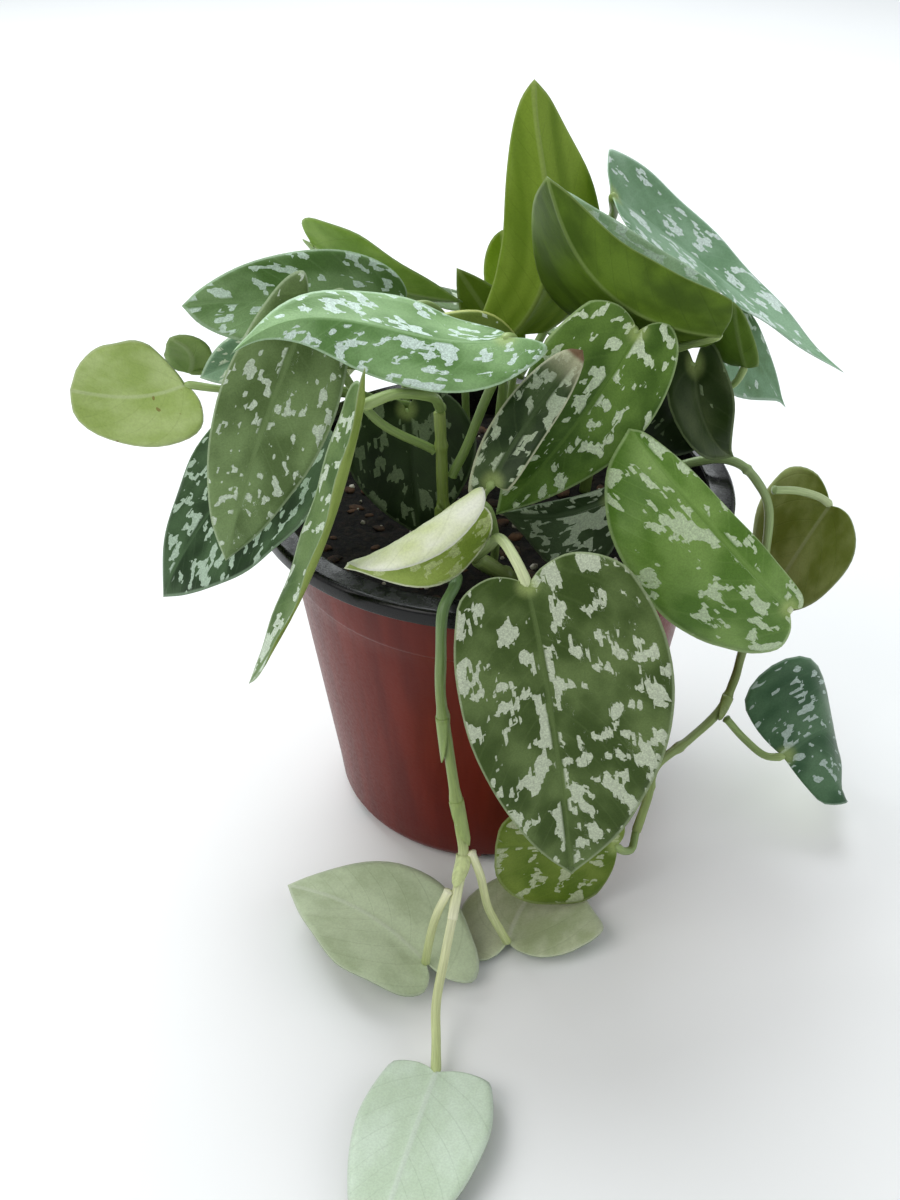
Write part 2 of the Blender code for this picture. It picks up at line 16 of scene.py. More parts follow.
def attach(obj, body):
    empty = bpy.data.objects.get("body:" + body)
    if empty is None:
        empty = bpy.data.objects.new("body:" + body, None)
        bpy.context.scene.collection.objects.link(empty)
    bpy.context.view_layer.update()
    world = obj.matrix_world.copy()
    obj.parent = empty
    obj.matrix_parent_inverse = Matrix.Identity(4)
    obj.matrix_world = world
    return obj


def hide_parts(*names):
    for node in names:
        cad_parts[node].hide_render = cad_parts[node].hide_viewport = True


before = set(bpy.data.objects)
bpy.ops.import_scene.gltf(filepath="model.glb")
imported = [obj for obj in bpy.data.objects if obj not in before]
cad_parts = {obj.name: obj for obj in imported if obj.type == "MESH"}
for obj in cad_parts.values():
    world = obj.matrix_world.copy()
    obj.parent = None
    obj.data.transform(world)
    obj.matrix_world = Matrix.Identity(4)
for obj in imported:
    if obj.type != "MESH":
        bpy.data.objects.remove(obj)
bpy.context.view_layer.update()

MM = 0.001

# Pot and soil, as in the CAD
RIM_RADIUS = 76.0
POT_HEIGHT = 118.5
LIP_DEPTH = 4.9
BODY_TOP_RADIUS = 68.4
BASE_RADIUS = 51.6
BASE_ROUND = 8.0
WALL = 1.4
STEP_DROP = 18.8
STEP_IN = 0.5
BASE_HOLLOW = 0.9
HEM_ROUND = 0.6
LIP_ROUND = 1.7
MOUTH_ROUND = 1.4
HOLE_RADIUS = 4.0
HOLE_COUNT = 6
HOLE_DEPTH = 16.0
HOLE_INSET = 6.0
HOLE_SLANT = 40
SOIL_DROP = 10.5
SOIL_CROWN = 0.8
GAP = 0.3
POT_TURNS = 144
SOIL_TURNS = 150
SOIL_RINGS = 46
PERLITE_COUNT = 150
PERLITE_RADII = (0.45, 1.25)
BARK_COUNT = 190
BARK_RADII = (0.8, 2.2)
BARK_FLATNESS = 0.35

# Leaves
THICKNESS = 0.55
PATCH_ACROSS = 5.6
PATCH_ALONG = 6.6
TOOTH_ACROSS = 1.0
TOOTH_ALONG = 2.6
STRIP_ACROSS = 1.9
STRIP_ALONG = 4.6
MARK_LEAN = 0.35
STRIP_SHARE = 0.34
TOOTH_SHARE = 0.15
MARK_MIDDLE = 0.745  # the marks' pattern has about this middle and spread
MARK_SPREAD = 0.125
MARK_EDGE = 0.012
LEAF_SPECULAR = 0.16
VEIN_SPACING = 7.0
RIB_GROOVE = 0.28
RIB_KEEL = 0.55
VEIN_RELIEF = 0.10
RUFFLE = 0.45
RUFFLE_PITCH = 0.24
STALK_ROOT = 2.4  # how far a stalk goes on below its first point
SHEATH_WALL = 0.28
END_ROUND = 0.6

POINTED = [
    (0.0, 0.0), (-0.075, 0.13), (-0.12, 0.38), (-0.06, 0.68), (0.09, 0.90), (0.27, 1.0),
    (0.45, 0.93), (0.62, 0.74), (0.78, 0.48), (0.91, 0.21), (1.0, 0.0),
]
ROUNDED = [
    (0.0, 0.0), (-0.06, 0.20), (-0.08, 0.45), (-0.02, 0.74), (0.10, 0.93), (0.27, 1.0),
    (0.46, 0.99), (0.64, 0.90), (0.81, 0.72), (0.94, 0.42), (1.0, 0.0),
]

# Studio: metres, degrees below level, and millimetres of lens
FLOOR_REACH = 6.0
CAMERA_PLACE = (-0.014, -0.4140, 0.3576)
CAMERA_DOWN = 34.6
CAMERA_LENS = 45.0

SCATTER_SEED = 7

STEMS = []
LEAVES = []


# Colours are 0-255 screen values: upper side dark and light, silver marks, underside dark and light.
# Underside colours of leaves seen against the light also hold painted light shining through them.
# In a look, size scales the silver patches and dry is where a wilted tip starts, in mm from the stalk.
GREEN = {"dark": (66, 92, 44), "light": (98, 126, 72), "silver": (200, 214, 188),
         "under": (116, 146, 66), "under_light": (146, 172, 96), "amount": 0.24}


def marked(dark, light, silver=GREEN["silver"], amount=GREEN["amount"], **more):
    """The look of a leaf whose upper side shows. amount is the silver share of it."""
    return {"dark": dark, "light": light, "silver": silver, "amount": amount, **more}


def plain(under, under_light, **more):
    """The look of a leaf whose underside shows. Where it is seen against the light, its colours hold painted
    light shining through it.
    """
    return {"under": under, "under_light": under_light, **more}


def stem(name, radius, points):
    STEMS.append({"name": name, "radius": radius, "points": points})


def leaf(name, base, tip, face, width, stalk, r, look=GREEN, **shape):
    """base: where the stalk joins; face: the way the upper side looks; width: over both halves."""
    LEAVES.append({"name": name, "base": base, "tip": tip, "face": face, "width": width,
                   "stalk": stalk, "r": r, "look": {**GREEN, **look}, **shape})


stem("stem_left", 2.5, [(-16, 6, 108.4), (-17, 4, 130), (-17, 2, 150)])
stem("stem_left_back", 2.1, [(-22, 20, 108.4), (-22, 20, 132), (-23, 21, 150)])
stem("stem_centre", 1.8, [(-15, -34, 108.4), (-16, -34, 129), (-16.5, -34, 148), (-17, -34, 160)])
stem("stem_front", 2.6, [(6, -46, 109.8), (0, -53, 118.5), (-6, -58, 126)])
stem("stem_middle", 2.2, [(6, 8, 108.4), (7, 9, 130), (8, 11, 146)])
stem("stem_right", 2.0, [(30, 10, 108.4), (32, 10, 130), (34, 12, 148)])
stem("vine_front", 1.7, [
    (-13, -46, 110), (-13, -57, 119), (-12, -66, 125), (-13, -74, 127), (-16, -80, 123),
    (-16.5, -83, 110), (-16.5, -84, 96), (-14, -85, 75), (-11, -87, 50), (-10, -90, 41), (-12, -96, 32),
    (-13.3, -100.5, 26)])
stem("vine_right", 1.6, [
    (46, 8, 109.8), (58, 8, 118), (70, 6, 122.5), (78, 4, 122), (84, 1, 117), (88, -2, 109),
    (88, -6, 95), (86, -10, 75), (83, -13, 58), (81, -16, 50), (76, -22, 42), (65, -32, 38),
    (53, -44, 37), (50, -50, 28), (46.5, -55.5, 19)])

# Leaves at the front
leaf("leaf_front", (6.3, -86.8, 136.6), (21.9, -95.4, 39.4), (0, -1, 0.11), 59,
     [(-6.3, -60.5, 129), (-3, -64, 134.5), (-1, -69, 140), (1, -78, 143.5), (4, -84, 141)], 1.6,
     bow=4, sway=-1.3, fold=(8, 0), cup=(15, 12), asym=-0.17, lobe=(0.4, 0.6), blunt=0.2,
     look=marked((60, 80, 30), (98, 118, 66), (204, 214, 188), 0.3))
leaf("leaf_right_large", (82.3, -65, 114.1), (35.7, -43.5, 160), (0.13, -0.81, 0.57), 34,
     [(86.5, -14.5, 86), (88, -32, 91), (84, -52, 102)], 1.4,
     bow=12.5, sway=-4.2, fold=(-2, -20), cup=(2, -13), asym=-0.6, lobe=(0.5, 1.8), blunt=(0.8, 1.2),
     look=marked((86, 122, 44), (124, 156, 80), (200, 218, 180), 0.22))
leaf("leaf_left_narrow", (-36.8, -69.3, 180.1), (-70.9, -77.1, 96.3), (-0.94, 0, 0.34), 21,
     [(-17, -36, 163), (-19, -48, 172), (-28, -61, 179.5)], 1.6,
     bow=-4.2, sway=-2.4, fold=(17, 5), cup=(34, 21), lobe=(0.5, 1.0), blunt=(0, 0.7),
     look=marked((76, 104, 54), (112, 138, 84), (216, 230, 208), 0.28, under=(120, 142, 62),
                 under_light=(150, 170, 90)))
leaf("leaf_left_large", (-53.3, -39, 190.4), (-80.2, -43.4, 115.6), (0.23, -0.8, 0.55), 32,
     [(-20.5, -34, 149), (-35, -36, 159), (-46, -37, 178)], 1.4,
     bow=7.1, sway=2.3, fold=(-6, -4), cup=(12, 13), asym=-0.1, lobe=(1.1, 1.1), blunt=(-0.2, 0.1),
     look=marked((88, 110, 62), (120, 144, 92), (208, 222, 200), 0.15, size=0.6))
leaf("leaf_left_dark", (-58.8, -15.4, 151.3), (-103.1, -30.9, 94.4), (-0.32, -0.63, 0.71), 53,
     [(-20.8, 3, 128), (-34, -2, 146), (-50, -10, 155)], 1.5,
     bow=3.9, sway=1.8, fold=(-3, 5), cup=(-2, 22), asym=-0.28, lobe=(0.7, 0.5), blunt=(0.5, 0.1),
     look=marked((34, 56, 28), (72, 98, 64), (180, 202, 180), 0.24, size=0.7))
leaf("leaf_centre", (0.5, -47.1, 188.9), (-70.3, -62.5, 191.2), (0.56, 0.15, 0.82), 34,
     [(-12.5, -33, 141), (-9, -33, 149), (-4, -34, 164), (1, -37, 178), (3, -42, 186)], 1.5,
     bow=4.5, sway=4.5, skew=1.6, twist=45, fold=(-8, -39), cup=(30, -14), asym=0.11,
     lobe=(0.4, 1.6), blunt=(1.0, -0.4),
     look=marked((96, 134, 74), (140, 176, 120), (222, 242, 232), 0.28, size=0.62))
leaf("leaf_young", (-9.9, -66.9, 150), (-43.7, -62.9, 126.3), (-0.27, -0.43, 0.86), 33,
     [(-1, -37, 108.8), (-1, -49, 128), (-4, -61, 145)], 1.3,
     bow=4.6, sway=-6.2, fold=(80, -47), cup=(182, -29), asym=-0.02, lobe=(0.8, 0.7), blunt=(0, -0.4),
     look=marked((136, 160, 62), (166, 186, 92), (206, 220, 150), 0.26, under=(214, 224, 166),
                 under_light=(246, 248, 230), rim=(236, 240, 212)))
leaf("leaf_middle", (-2.3, -57.2, 150.6), (22.2, -39.5, 181.8), (-0.16, -0.76, 0.63), 15,
     [(-5, -30, 108.9), (-6, -46, 130), (-5, -55, 145)], 1.3,
     sway=-1.3, fold=(7, 5), cup=(2, 8), asym=-0.13, lobe=(0.1, 1.2), blunt=(-0.2, 1.0),
     look=marked((40, 58, 28), (80, 100, 60), (190, 204, 174), 0.34, rim=(196, 200, 168), size=0.7, dry=40))
leaf("leaf_low_middle", (34.3, -34.6, 132.9), (0.1, -24.8, 123.2), (-0.26, -0.72, 0.64), 25,
     [(34, -22, 108.8), (38, -24, 120), (38, -31, 130)], 1.3,
     bow=11, sway=-6.3, fold=(33, -38), cup=(17, 23), asym=-0.59, lobe=(0.9, 1.1), blunt=(1.0, -0.6),
     look=marked((48, 66, 38), (82, 100, 72), (194, 208, 184), 0.26, size=0.6))
leaf("leaf_middle_right", (37.7, -30, 183), (-0.8, -43.8, 131.9), (0.33, -0.82, 0.46), 38,
     [(10.5, 6, 132), (20, -5, 160), (31, -20, 181)], 1.5,
     bow=3.3, sway=-1.2, fold=(5, 11), cup=(-11, 8), asym=0.11, lobe=(0.5, 0.9), blunt=(0.4, -0.1),
     look=marked((64, 94, 30), (104, 136, 60), (214, 230, 196), 0.25, size=0.62))
# Painted shade: this leaf's dark greens and dim marks stand in for the shade deep in the crown over the soil.
leaf("leaf_inner_dark", (-27, -9, 148), (-23, -24, 112), (0, -0.85, 0.5), 40,
     [(-17.5, 1.3, 116), (-21, -5, 132)], 1.2,
     bow=3, fold=5, cup=8, look=marked((30, 44, 22), (52, 68, 40), (120, 136, 104), 0.22))

# Upper crown
leaf("leaf_upper_left", (-29.6, -5.9, 178.6), (-89, -22.6, 187.4), (0.43, -0.7, 0.58), 36,
     [(-16.5, 1.5, 153), (-14, 2, 168), (-20, -1, 178)], 1.5,
     bow=8.4, fold=(-5, 10), cup=(10, 27), asym=-0.15, lobe=(0.9, 0.6), blunt=(1.2, 0.4),
     look=marked((74, 106, 50), (112, 142, 92), (188, 210, 192), 0.24, size=0.7))
leaf("leaf_back_left", (-55, 24, 187), (-10, 14, 173), (0.1, 0.7, 0.65), 34,
     [(-23.5, 22, 153), (-36, 26, 171), (-50, 28, 184)], 1.4,
     bow=-4, fold=8, cup=8, look=plain((106, 142, 46), (134, 166, 74)))
leaf("leaf_tall", (4.9, 8.7, 164.6), (9.9, 23.1, 236.8), (-0.28, 0.71, -0.65), 37,
     [(2.8, 6.5, 140), (2.5, 6.5, 152)], 1.6,
     bow=-7, sway=-5.8, skew=-0.8, fold=(22, 27), cup=(13, -11), asym=-0.21, lobe=(0.1, 0.1), blunt=(1, 0.4),
     look=plain((100, 128, 26), (128, 154, 50), streaks=0.6))
leaf("leaf_cupped", (61.5, -27.8, 180.9), (12.5, -16, 222), (0.77, 0.63, 0.08), 58,
     [(12, 9, 140), (30, 0, 154), (52, -17, 172)], 1.4,
     bow=-10, sway=6.8, fold=(11, 9), cup=(18, 34), asym=0.44, lobe=0.2, blunt=(1.1, 0.6),
     look=plain((64, 88, 18), (96, 124, 36), streaks=0.1))
leaf("leaf_draped", (24.1, 2.3, 204), (64.1, -6.8, 184.3), (-0.16, -0.82, 0.55), 18,
     [(34.1, 12.1, 149), (36, 12, 160), (36, 10, 180), (29, 5, 197)], 1.3,
     bow=2.3, sway=2.3, fold=(4, 6), cup=(10, 26), asym=0.46, lobe=(0.4, 1.7), blunt=(-0.2, 0.9),
     look=marked((132, 168, 128), (164, 194, 156), (206, 228, 210), 0.34))
leaf("leaf_upper_right", (34, 16.1, 205.5), (107.9, 8.8, 151.3), (0.76, -0.30, 0.58), 39,
     [(8.7, 13.5, 150), (15, 24, 157), (26, 32, 175), (35, 28, 193)], 1.5,
     bow=-9.8, sway=-17.6, fold=(12, -3), cup=(12, 21), asym=0.02, lobe=(0.2, 0.1), blunt=(1.2, -0.3),
     look=marked((112, 150, 112), (146, 180, 148), (226, 242, 234), 0.28))
leaf("leaf_sliver", (3, -14, 170), (-21, -16, 181), (0, -0.5, 0.8), 16,
     [(3.5, 3, 126), (4, -8, 150), (5, -12, 164)], 1.1,
     bow=1, fold=5, cup=8, look=marked((86, 108, 38), (110, 130, 56), amount=0.05, rim=(196, 206, 120)))

# Right side
leaf("leaf_back_right", (74.1, 25, 163.3), (97, 29.1, 129), (0.48, -0.65, 0.59), 26,
     [(37, 15, 148), (54, 24, 159), (66, 27, 165)], 1.2,
     fold=(-4, 1), cup=(13, 18), asym=0.44, lobe=(0.4, 0.7), blunt=(0.4, -0.6),
     look=marked((96, 130, 86), (130, 166, 134), (216, 232, 222)))
leaf("leaf_right_under", (76.4, 3.7, 156.2), (68.5, -5.3, 180.8), (0.25, 0.55, 0.8), 25,
     [(36.5, 11, 134), (58, 8, 143), (72, 4, 149)], 1.2,
     bow=-0.8, fold=(3, -8), cup=(31, 32), asym=0.6, lobe=(0.9, 0.1), blunt=(0.2, 0.7),
     look=plain((80, 108, 28), (104, 134, 50)))
leaf("leaf_right_olive", (60.3, 1.8, 157.6), (75, -2.7, 128), (0.32, -0.88, 0.36), 22,
     [(35, 7, 144), (44, 4, 150), (55, 4, 156)], 1.3,
     bow=6, sway=7.3, fold=(22, 21), cup=(-8, 25), lobe=(1.1, 1.5), blunt=(0.5, -0.3),
     look=marked((44, 62, 24), (82, 96, 58), (140, 156, 120), 0.06))
# Painted shade: this leaf's dark greens and dim grey marks stand in for the shade it sits in.
leaf("leaf_shade", (58, 1, 143), (42, -9, 133), (0, -0.8, 0.5), 24,
     [(35.5, 6, 122), (47, 4, 135), (54, 3, 142)], 1.2,
     bow=2, fold=5, cup=8, look=marked((28, 40, 22), (44, 58, 36), (110, 124, 98), 0.15))
leaf("leaf_right_vine", (110.7, 7.4, 104.5), (95.5, 13.2, 60.2), (0.56, 0.67, -0.49), 44,
     [(91.5, 1, 114), (98, 4, 112), (106, 7, 108)], 1.4,
     bow=-0.4, sway=-0.4, fold=(-15, 0), cup=(-3, 22), asym=-0.11, lobe=(0.9, 1.3), blunt=(1.2, 0.5),
     look=plain((104, 118, 42), (138, 150, 84)))

# Left side
leaf("leaf_far_left", (-95.3, 2.1, 150.9), (-133.3, 11.6, 144.5), (-0.08, 0.99, -0.12), 38,
     [(-26, 17, 136), (-50, 8, 145), (-80, 2, 149)], 1.3,
     bow=2.1, sway=4, fold=(-17, -18), cup=(23, -5), asym=-0.12, lobe=(1, 0.2), blunt=(1.2, 1.2),
     look=plain((150, 172, 92), (176, 194, 128), spots=1))
leaf("leaf_small_left", (-96.1, 15.5, 148.5), (-99.3, 6.5, 164.1), (-0.08, 0.96, -0.27), 15,
     [(-27, 21, 144), (-56, 19, 150), (-86, 17, 148)], 1.0,
     sway=-3.5, fold=(10, -5), cup=(24, 15), asym=0.17, lobe=(0.7, 0.8), blunt=(1.2, 0.9),
     look=plain((132, 162, 84), (156, 180, 110)))
leaf("leaf_left_teal", (-72, 4, 160), (-90, 0, 154), (0, -0.7, 0.6), 16,
     [(-27, 20, 149), (-48, 14, 160), (-66, 7, 161)], 1.1,
     bow=1, fold=5, cup=8, look=marked((100, 132, 100), (132, 164, 132)))

# Behind the crown
leaf("leaf_back_small", (5, 34, 165), (2, 32, 189), (0, 0.9, -0.1), 15,
     [(5, 26, 108.8), (6, 30, 140), (6, 34, 158)], 1.1,
     bow=1, fold=5, cup=8, blunt=0.5, look=plain((128, 158, 36), (146, 172, 62)))
leaf("leaf_back_olive", (4, 22, 155), (-12, 20, 181), (0, 0.9, 0.1), 17,
     [(0, 18, 108.5), (2, 21, 135), (4, 23, 148)], 1.1,
     bow=1, fold=5, cup=8, look=plain((82, 106, 16), (104, 128, 40)))
leaf("leaf_back_low_left", (-34, 46, 150), (-52, 84, 112), (-0.3, 0.5, 0.8), 40,
     [(-27, 24, 118), (-29, 32, 138), (-31, 41, 149)], 1.4,
     bow=4, fold=8, cup=10)
leaf("leaf_back_low_right", (22, 44, 148), (34, 86, 118), (0.2, 0.5, 0.8), 44,
     [(12, 26, 108.6), (15, 32, 134), (18, 39, 147)], 1.4,
     bow=5, fold=8, cup=10)
leaf("leaf_back_middle", (-8, 40, 160), (-10, 76, 146), (0, 0.3, 0.9), 36,
     [(-8, 28, 108.6), (-9, 30, 136), (-9, 36, 157)], 1.4,
     bow=4, fold=8, cup=10)

# Leaves lying at the foot of the pot
leaf("leaf_floor_right", (98.5, -28.3, 27.3), (122.1, -5.7, 11.6), (0.35, -0.75, 0.56), 53,
     [(80, -23.5, 38), (85, -24, 32), (92, -27, 27)], 1.4,
     bow=6.8, sway=-7.8, fold=(7, -11), cup=(17, 3), asym=-0.06, lobe=(0.1, 0.4), blunt=(1.2, 0),
     look=marked((50, 84, 54), (84, 116, 84), (182, 200, 190), 0.14, size=0.6, dry=36))
leaf("leaf_foot_green", (38.9, -65.5, 22), (-0.1, -82.7, 38.5), (-0.08, -0.87, 0.48), 35,
     [(46.2, -56, 18.2), (44.8, -60, 15.5), (41.5, -63.5, 18)], 1.4,
     sway=1.2, fold=(-18, -15), cup=(3, 8), asym=-0.26, lobe=(0.7, 0.6), blunt=(0.6, 1.2),
     look=marked((86, 110, 28), (116, 136, 54), (186, 196, 158), 0.2))
leaf("leaf_foot_pale", (4.1, -88.9, 3.2), (26.5, -51.5, 2.4), (0.14, 0, -1), 47,
     [(-6.9, -90.1, 40.6), (-4.8, -91, 34), (-2.4, -91, 21), (2, -90, 9)], 1.4,
     sway=3.8, fold=(0, -1), cup=(-2, -2), asym=-0.21, lobe=(1.9, 1.1), blunt=(0.5, -0.2),
     look=plain((168, 180, 138), (198, 206, 174)))
leaf("leaf_floor_left", (-21.5, -101.2, 7.4), (-65.9, -70.9, 9.7), (0, 0, -1), 46,
     [(-15.4, -96.7, 31.2), (-17.6, -98, 26.5), (-19.5, -99.5, 20), (-21, -101.5, 12)], 1.4,
     bow=-3.6, sway=-2.7, fold=(-6, -7), cup=(-7, -9), lobe=(0.9, 1.7), blunt=(-0.5, 0.1),
     look=plain((168, 182, 146), (190, 204, 170)))
leaf("leaf_floor_front", (-18, -140, 5), (-36, -204, 4), (0, 0, -1), 37,
     [(-13.5, -101, 25.3), (-15.5, -108, 18.5), (-18, -119, 11), (-18, -130, 6.5)], 1.5,
     bow=-2, cup=-8, lobe=0.3, asym=0.1, look=plain((194, 212, 186), (210, 226, 206), vein=0.4))

STALK_GREEN = (134, 158, 92)
STALK_PALE = (206, 216, 168)
CREAM = (232, 232, 198)
STALK_SPOT = (176, 194, 120)
WILTED = (186, 186, 152)
DRIED = (112, 86, 62)
RUST = (120, 92, 44)


def linear(colour):
    """A screen colour as linear light, with alpha."""
    out = []
    for value in colour:
        v = value / 255
        out.append(v / 12.92 if v <= 0.04045 else ((v + 0.055) / 1.055) ** 2.4)
    return (*out, 1.0)


def smooth_at(points, place):
    """The Catmull-Rom curve through the points, at a place from 0 to 1."""
    count = len(points)
    ends = [2 * points[0] - points[1], *points, 2 * points[-1] - points[-2]]
    scaled = place * (count - 1)
    index = min(int(scaled), count - 2)
    f = scaled - index
    a, b, c, d = ends[index:index + 4]
    line = 2 * b + (c - a) * f
    curve = (2 * a - 5 * b + 4 * c - d) * f ** 2 + (3 * b - a - 3 * c + d) * f ** 3
    return 0.5 * (line + curve)


def circle(count):
    """Unit points round a circle."""
    turns = [2 * math.pi * k / count for k in range(count)]
    return [(math.cos(a), math.sin(a)) for a in turns]


def both(value):
    """One value for each half of a leaf: right, then left."""
    return value if isinstance(value, tuple) else (value, value)


class Blade:
    """The curved surface of one leaf, the same as in the CAD."""

    def __init__(self, spec):
        self.base = Vector(spec["base"])
        self.tip = Vector(spec["tip"])
        self.length = (self.tip - self.base).length
        self.along = (self.tip - self.base).normalized()
        face = Vector(spec["face"])
        self.up = (face - face.dot(self.along) * self.along).normalized()
        self.across = self.along.cross(self.up)
        self.width = spec["width"]
        self.bow = spec.get("bow", 0)
        self.sway = spec.get("sway", 0)
        self.skew = spec.get("skew", 0)
        self.twist = math.radians(spec.get("twist", 0))
        self.fold = [math.radians(a) for a in both(spec.get("fold", 0))]
        self.cup = [math.radians(a) for a in both(spec.get("cup", 0))]
        self.asym = spec.get("asym", 0)
        self.lobe = both(spec.get("lobe", 1.0))
        blunt = both(spec.get("blunt", 0))
        self.margin = [
            Vector(p).lerp(Vector(q), blunt[0] if p[0] < 0.2 else blunt[1])
            for p, q in zip(POINTED, ROUNDED)
        ]

    def midrib(self, u):
        """The midrib at a place u: 0 at the stalk, 1 at the tip."""
        if u < 0:
            rise = 4 * u * (1 - self.skew)
        else:
            rise = 4 * u * (1 - u) * (1 + self.skew * (2 * u - 1))
        return (self.base + u * self.length * self.along
                + rise * self.bow * self.up + rise * self.sway * self.across)

    def reach(self, half):
        return self.width / 2 * (1 + (1 - 2 * half) * self.asym)

    def point(self, u, w):
        """A point of the surface: u along, w across in half widths, with the right half positive."""
        ahead = (self.midrib(u + 0.001) - self.midrib(u - 0.001)).normalized()
        side = (self.across - self.across.dot(ahead) * ahead).normalized()
        up = side.cross(ahead)
        turn = self.twist * (max(u, 0) - 0.3)
        out = side * math.cos(turn) + up * math.sin(turn)
        top = up * math.cos(turn) - side * math.sin(turn)
        half = 0 if w >= 0 else 1
        sign = 1 - 2 * half
        start = self.fold[half]
        bend = self.cup[half] if abs(self.cup[half]) > 0.001 else 0.001
        end = start + bend * abs(w)
        sideways = self.reach(half) * (math.sin(end) - math.sin(start)) / bend
        height = self.reach(half) * (math.cos(start) - math.cos(end)) / bend
        return self.midrib(u) + out * sideways * sign + top * height

    def place(self, t, v):
        """Where t along the outline and share v from the midrib lie, as u and w."""
        edge = smooth_at(self.margin, t)
        s, w = edge
        if s < 0:
            s *= self.lobe[0 if v >= 0 else 1]
        start = max(0.0, (t - 0.25) / 0.75) ** 1.5
        return start + (s - start) * abs(v) ** 1.5, w * v


class Shape:
    """Points, faces and per-point values gathered for one mesh."""

    def __init__(self):
        self.points = []
        self.faces = []
        self.kinds = []
        self.flat = []
        self.vein = []
        self.tone = []

    def add(self, points, faces, kinds, flat=None, vein=None, tone=None):
        first = len(self.points)
        count = len(points)
        self.points += points
        self.faces += [[i + first for i in face] for face in faces]
        self.kinds += kinds
        self.flat += flat or [(0, 0, 0)] * count
        self.vein += vein or [(0, 0, 0)] * count
        self.tone += tone or [(0, 0, 0, 1)] * count

    def mesh(self, name, materials):
        made = smooth_mesh(name, self.points, self.faces, self.kinds, materials)
        layers = (("flat", "FLOAT_VECTOR", "vector", self.flat),
                  ("vein", "FLOAT_VECTOR", "vector", self.vein),
                  ("tone", "FLOAT_COLOR", "color", self.tone))
        for label, kind, field, values in layers:
            layer = made.attributes.new(label, kind, "POINT")
            layer.data.foreach_set(field, [x for value in values for x in value])
        made.update()
        return made


def smooth_mesh(name, points, faces, kinds, materials):
    """A smooth-shaded mesh from points in millimetres. kinds picks each face's material."""
    made = bpy.data.meshes.new(name)
    made.from_pydata([p * MM for p in points], [], faces)
    for mat in materials:
        made.materials.append(mat)
    made.polygons.foreach_set("material_index", kinds)
    made.polygons.foreach_set("use_smooth", [True] * len(faces))
    return made


def new_object(name, data):
    made = bpy.data.objects.new(name, data)
    bpy.context.scene.collection.objects.link(made)
    return made


def stand_for(made, node):
    """The piece rides on the one body and takes the CAD node's place; the CAD node is hidden."""
    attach(made, "root")
    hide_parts(node)


def normals_of(points, faces):
    """Each point's normal, from the faces round it."""
    found = [Vector((0, 0, 0)) for _ in points]
    for face in faces:
        corners = [points[i] for i in face]
        normal = Vector((0, 0, 0))
        for i in range(1, len(corners) - 1):
            normal += (corners[i] - corners[0]).cross(corners[i + 1] - corners[0])
        for i in face:
            found[i] += normal
    return [n.normalized() if n.length > 0 else Vector((0, 0, 1)) for n in found]


def blade_grid(blade):
    """The middle surface of a leaf: points, faces, (x, y, edge) and (a, b, side) of each point."""
    rows = max(18, min(46, round(blade.length / 1.7)))
    columns = max(6, min(15, round(blade.width / 3.4)))
    shares = [math.copysign(abs(j / columns) ** 1.35, j) for j in range(-columns, columns + 1)]
    seen = {}
    points = []
    flats = []
    veins = []
    grid = []
    for i in range(rows + 1):
        t = i / rows
        line = []
        edge_u, edge_w = blade.place(t, 1)
        start_u, _ = blade.place(t, 0)
        span = math.hypot((edge_u - start_u) * blade.length, edge_w * blade.width / 2)
        for v in shares:
            u, w = blade.place(t, v)
            key = (round(u, 5), round(w, 5))
            if key not in seen:
                seen[key] = len(points)
                half = 0 if w >= 0 else 1
                x = w * blade.reach(half)
                y = u * blade.length
                points.append(blade.point(u, w))
                flats.append((x, y, (1 - abs(v)) * span))
                run = abs(x)
                lean = 0.45 + 1.5 * max(u, -0.15)
                veins.append((run, y - lean * run, half * 40.0))
            line.append(seen[key])
        grid.append(line)
    faces = []
    for i in range(rows):
        for j in range(len(shares) - 1):
            corners = [grid[i][j], grid[i][j + 1], grid[i + 1][j + 1], grid[i + 1][j]]
            kept = list(dict.fromkeys(corners))
            if len(kept) > 2:
                faces.append(kept)
    return points, faces, flats, veins


def outline_edges(faces):
    """Directed edges that only one face uses, in the faces' order."""
    used = {edge: True for face in faces for edge in zip(face, [*face[1:], face[0]])}
    return [edge for edge in used if (edge[1], edge[0]) not in used]


def add_blade(shape, blade, seed):
    """The blade as a thin solid: kind 0 is the upper side, 1 the underside, 2 the edge."""
    points, faces, flats, veins = blade_grid(blade)
    normals = normals_of(points, faces)
    facing = sum(n.dot(blade.up) for n in normals)
    if facing < 0:
        faces = [list(reversed(face)) for face in faces]
        normals = [-n for n in normals]
    top = []
    bottom = []
    for p, n, (x, y, edge) in zip(points, normals, flats):
        along = y / blade.length
        taper = max(0.15, 1 - along)
        line = math.exp(-(x / (1.1 * taper + 0.25)) ** 2)
        ease = 1 - math.exp(-(edge / 0.8) ** 2)
        ruffle = RUFFLE * math.sin(y * RUFFLE_PITCH + seed) * math.exp(-edge / 4.0) * (1 if edge < 20 else 0)
        vein = VEIN_RELIEF * math.sin((y - 1.15 * abs(x)) * 2 * math.pi / VEIN_SPACING)
        vein *= ease * min(1, abs(x) / 3)
        half = THICKNESS / 2 * (0.35 + 0.65 * ease)
        top.append(p + n * (half + ruffle + vein - RIB_GROOVE * line * taper))
        bottom.append(p + n * (-half + ruffle + vein - RIB_KEEL * line * taper * ease))
    count = len(points)
    rim = [[b, a, a + count, b + count] for a, b in outline_edges(faces)]
    under = [[i + count for i in reversed(face)] for face in faces]
    kinds = [0] * len(faces) + [1] * len(under) + [2] * len(rim)
    shape.add(top + bottom, faces + under + rim, kinds, flats * 2, veins * 2)


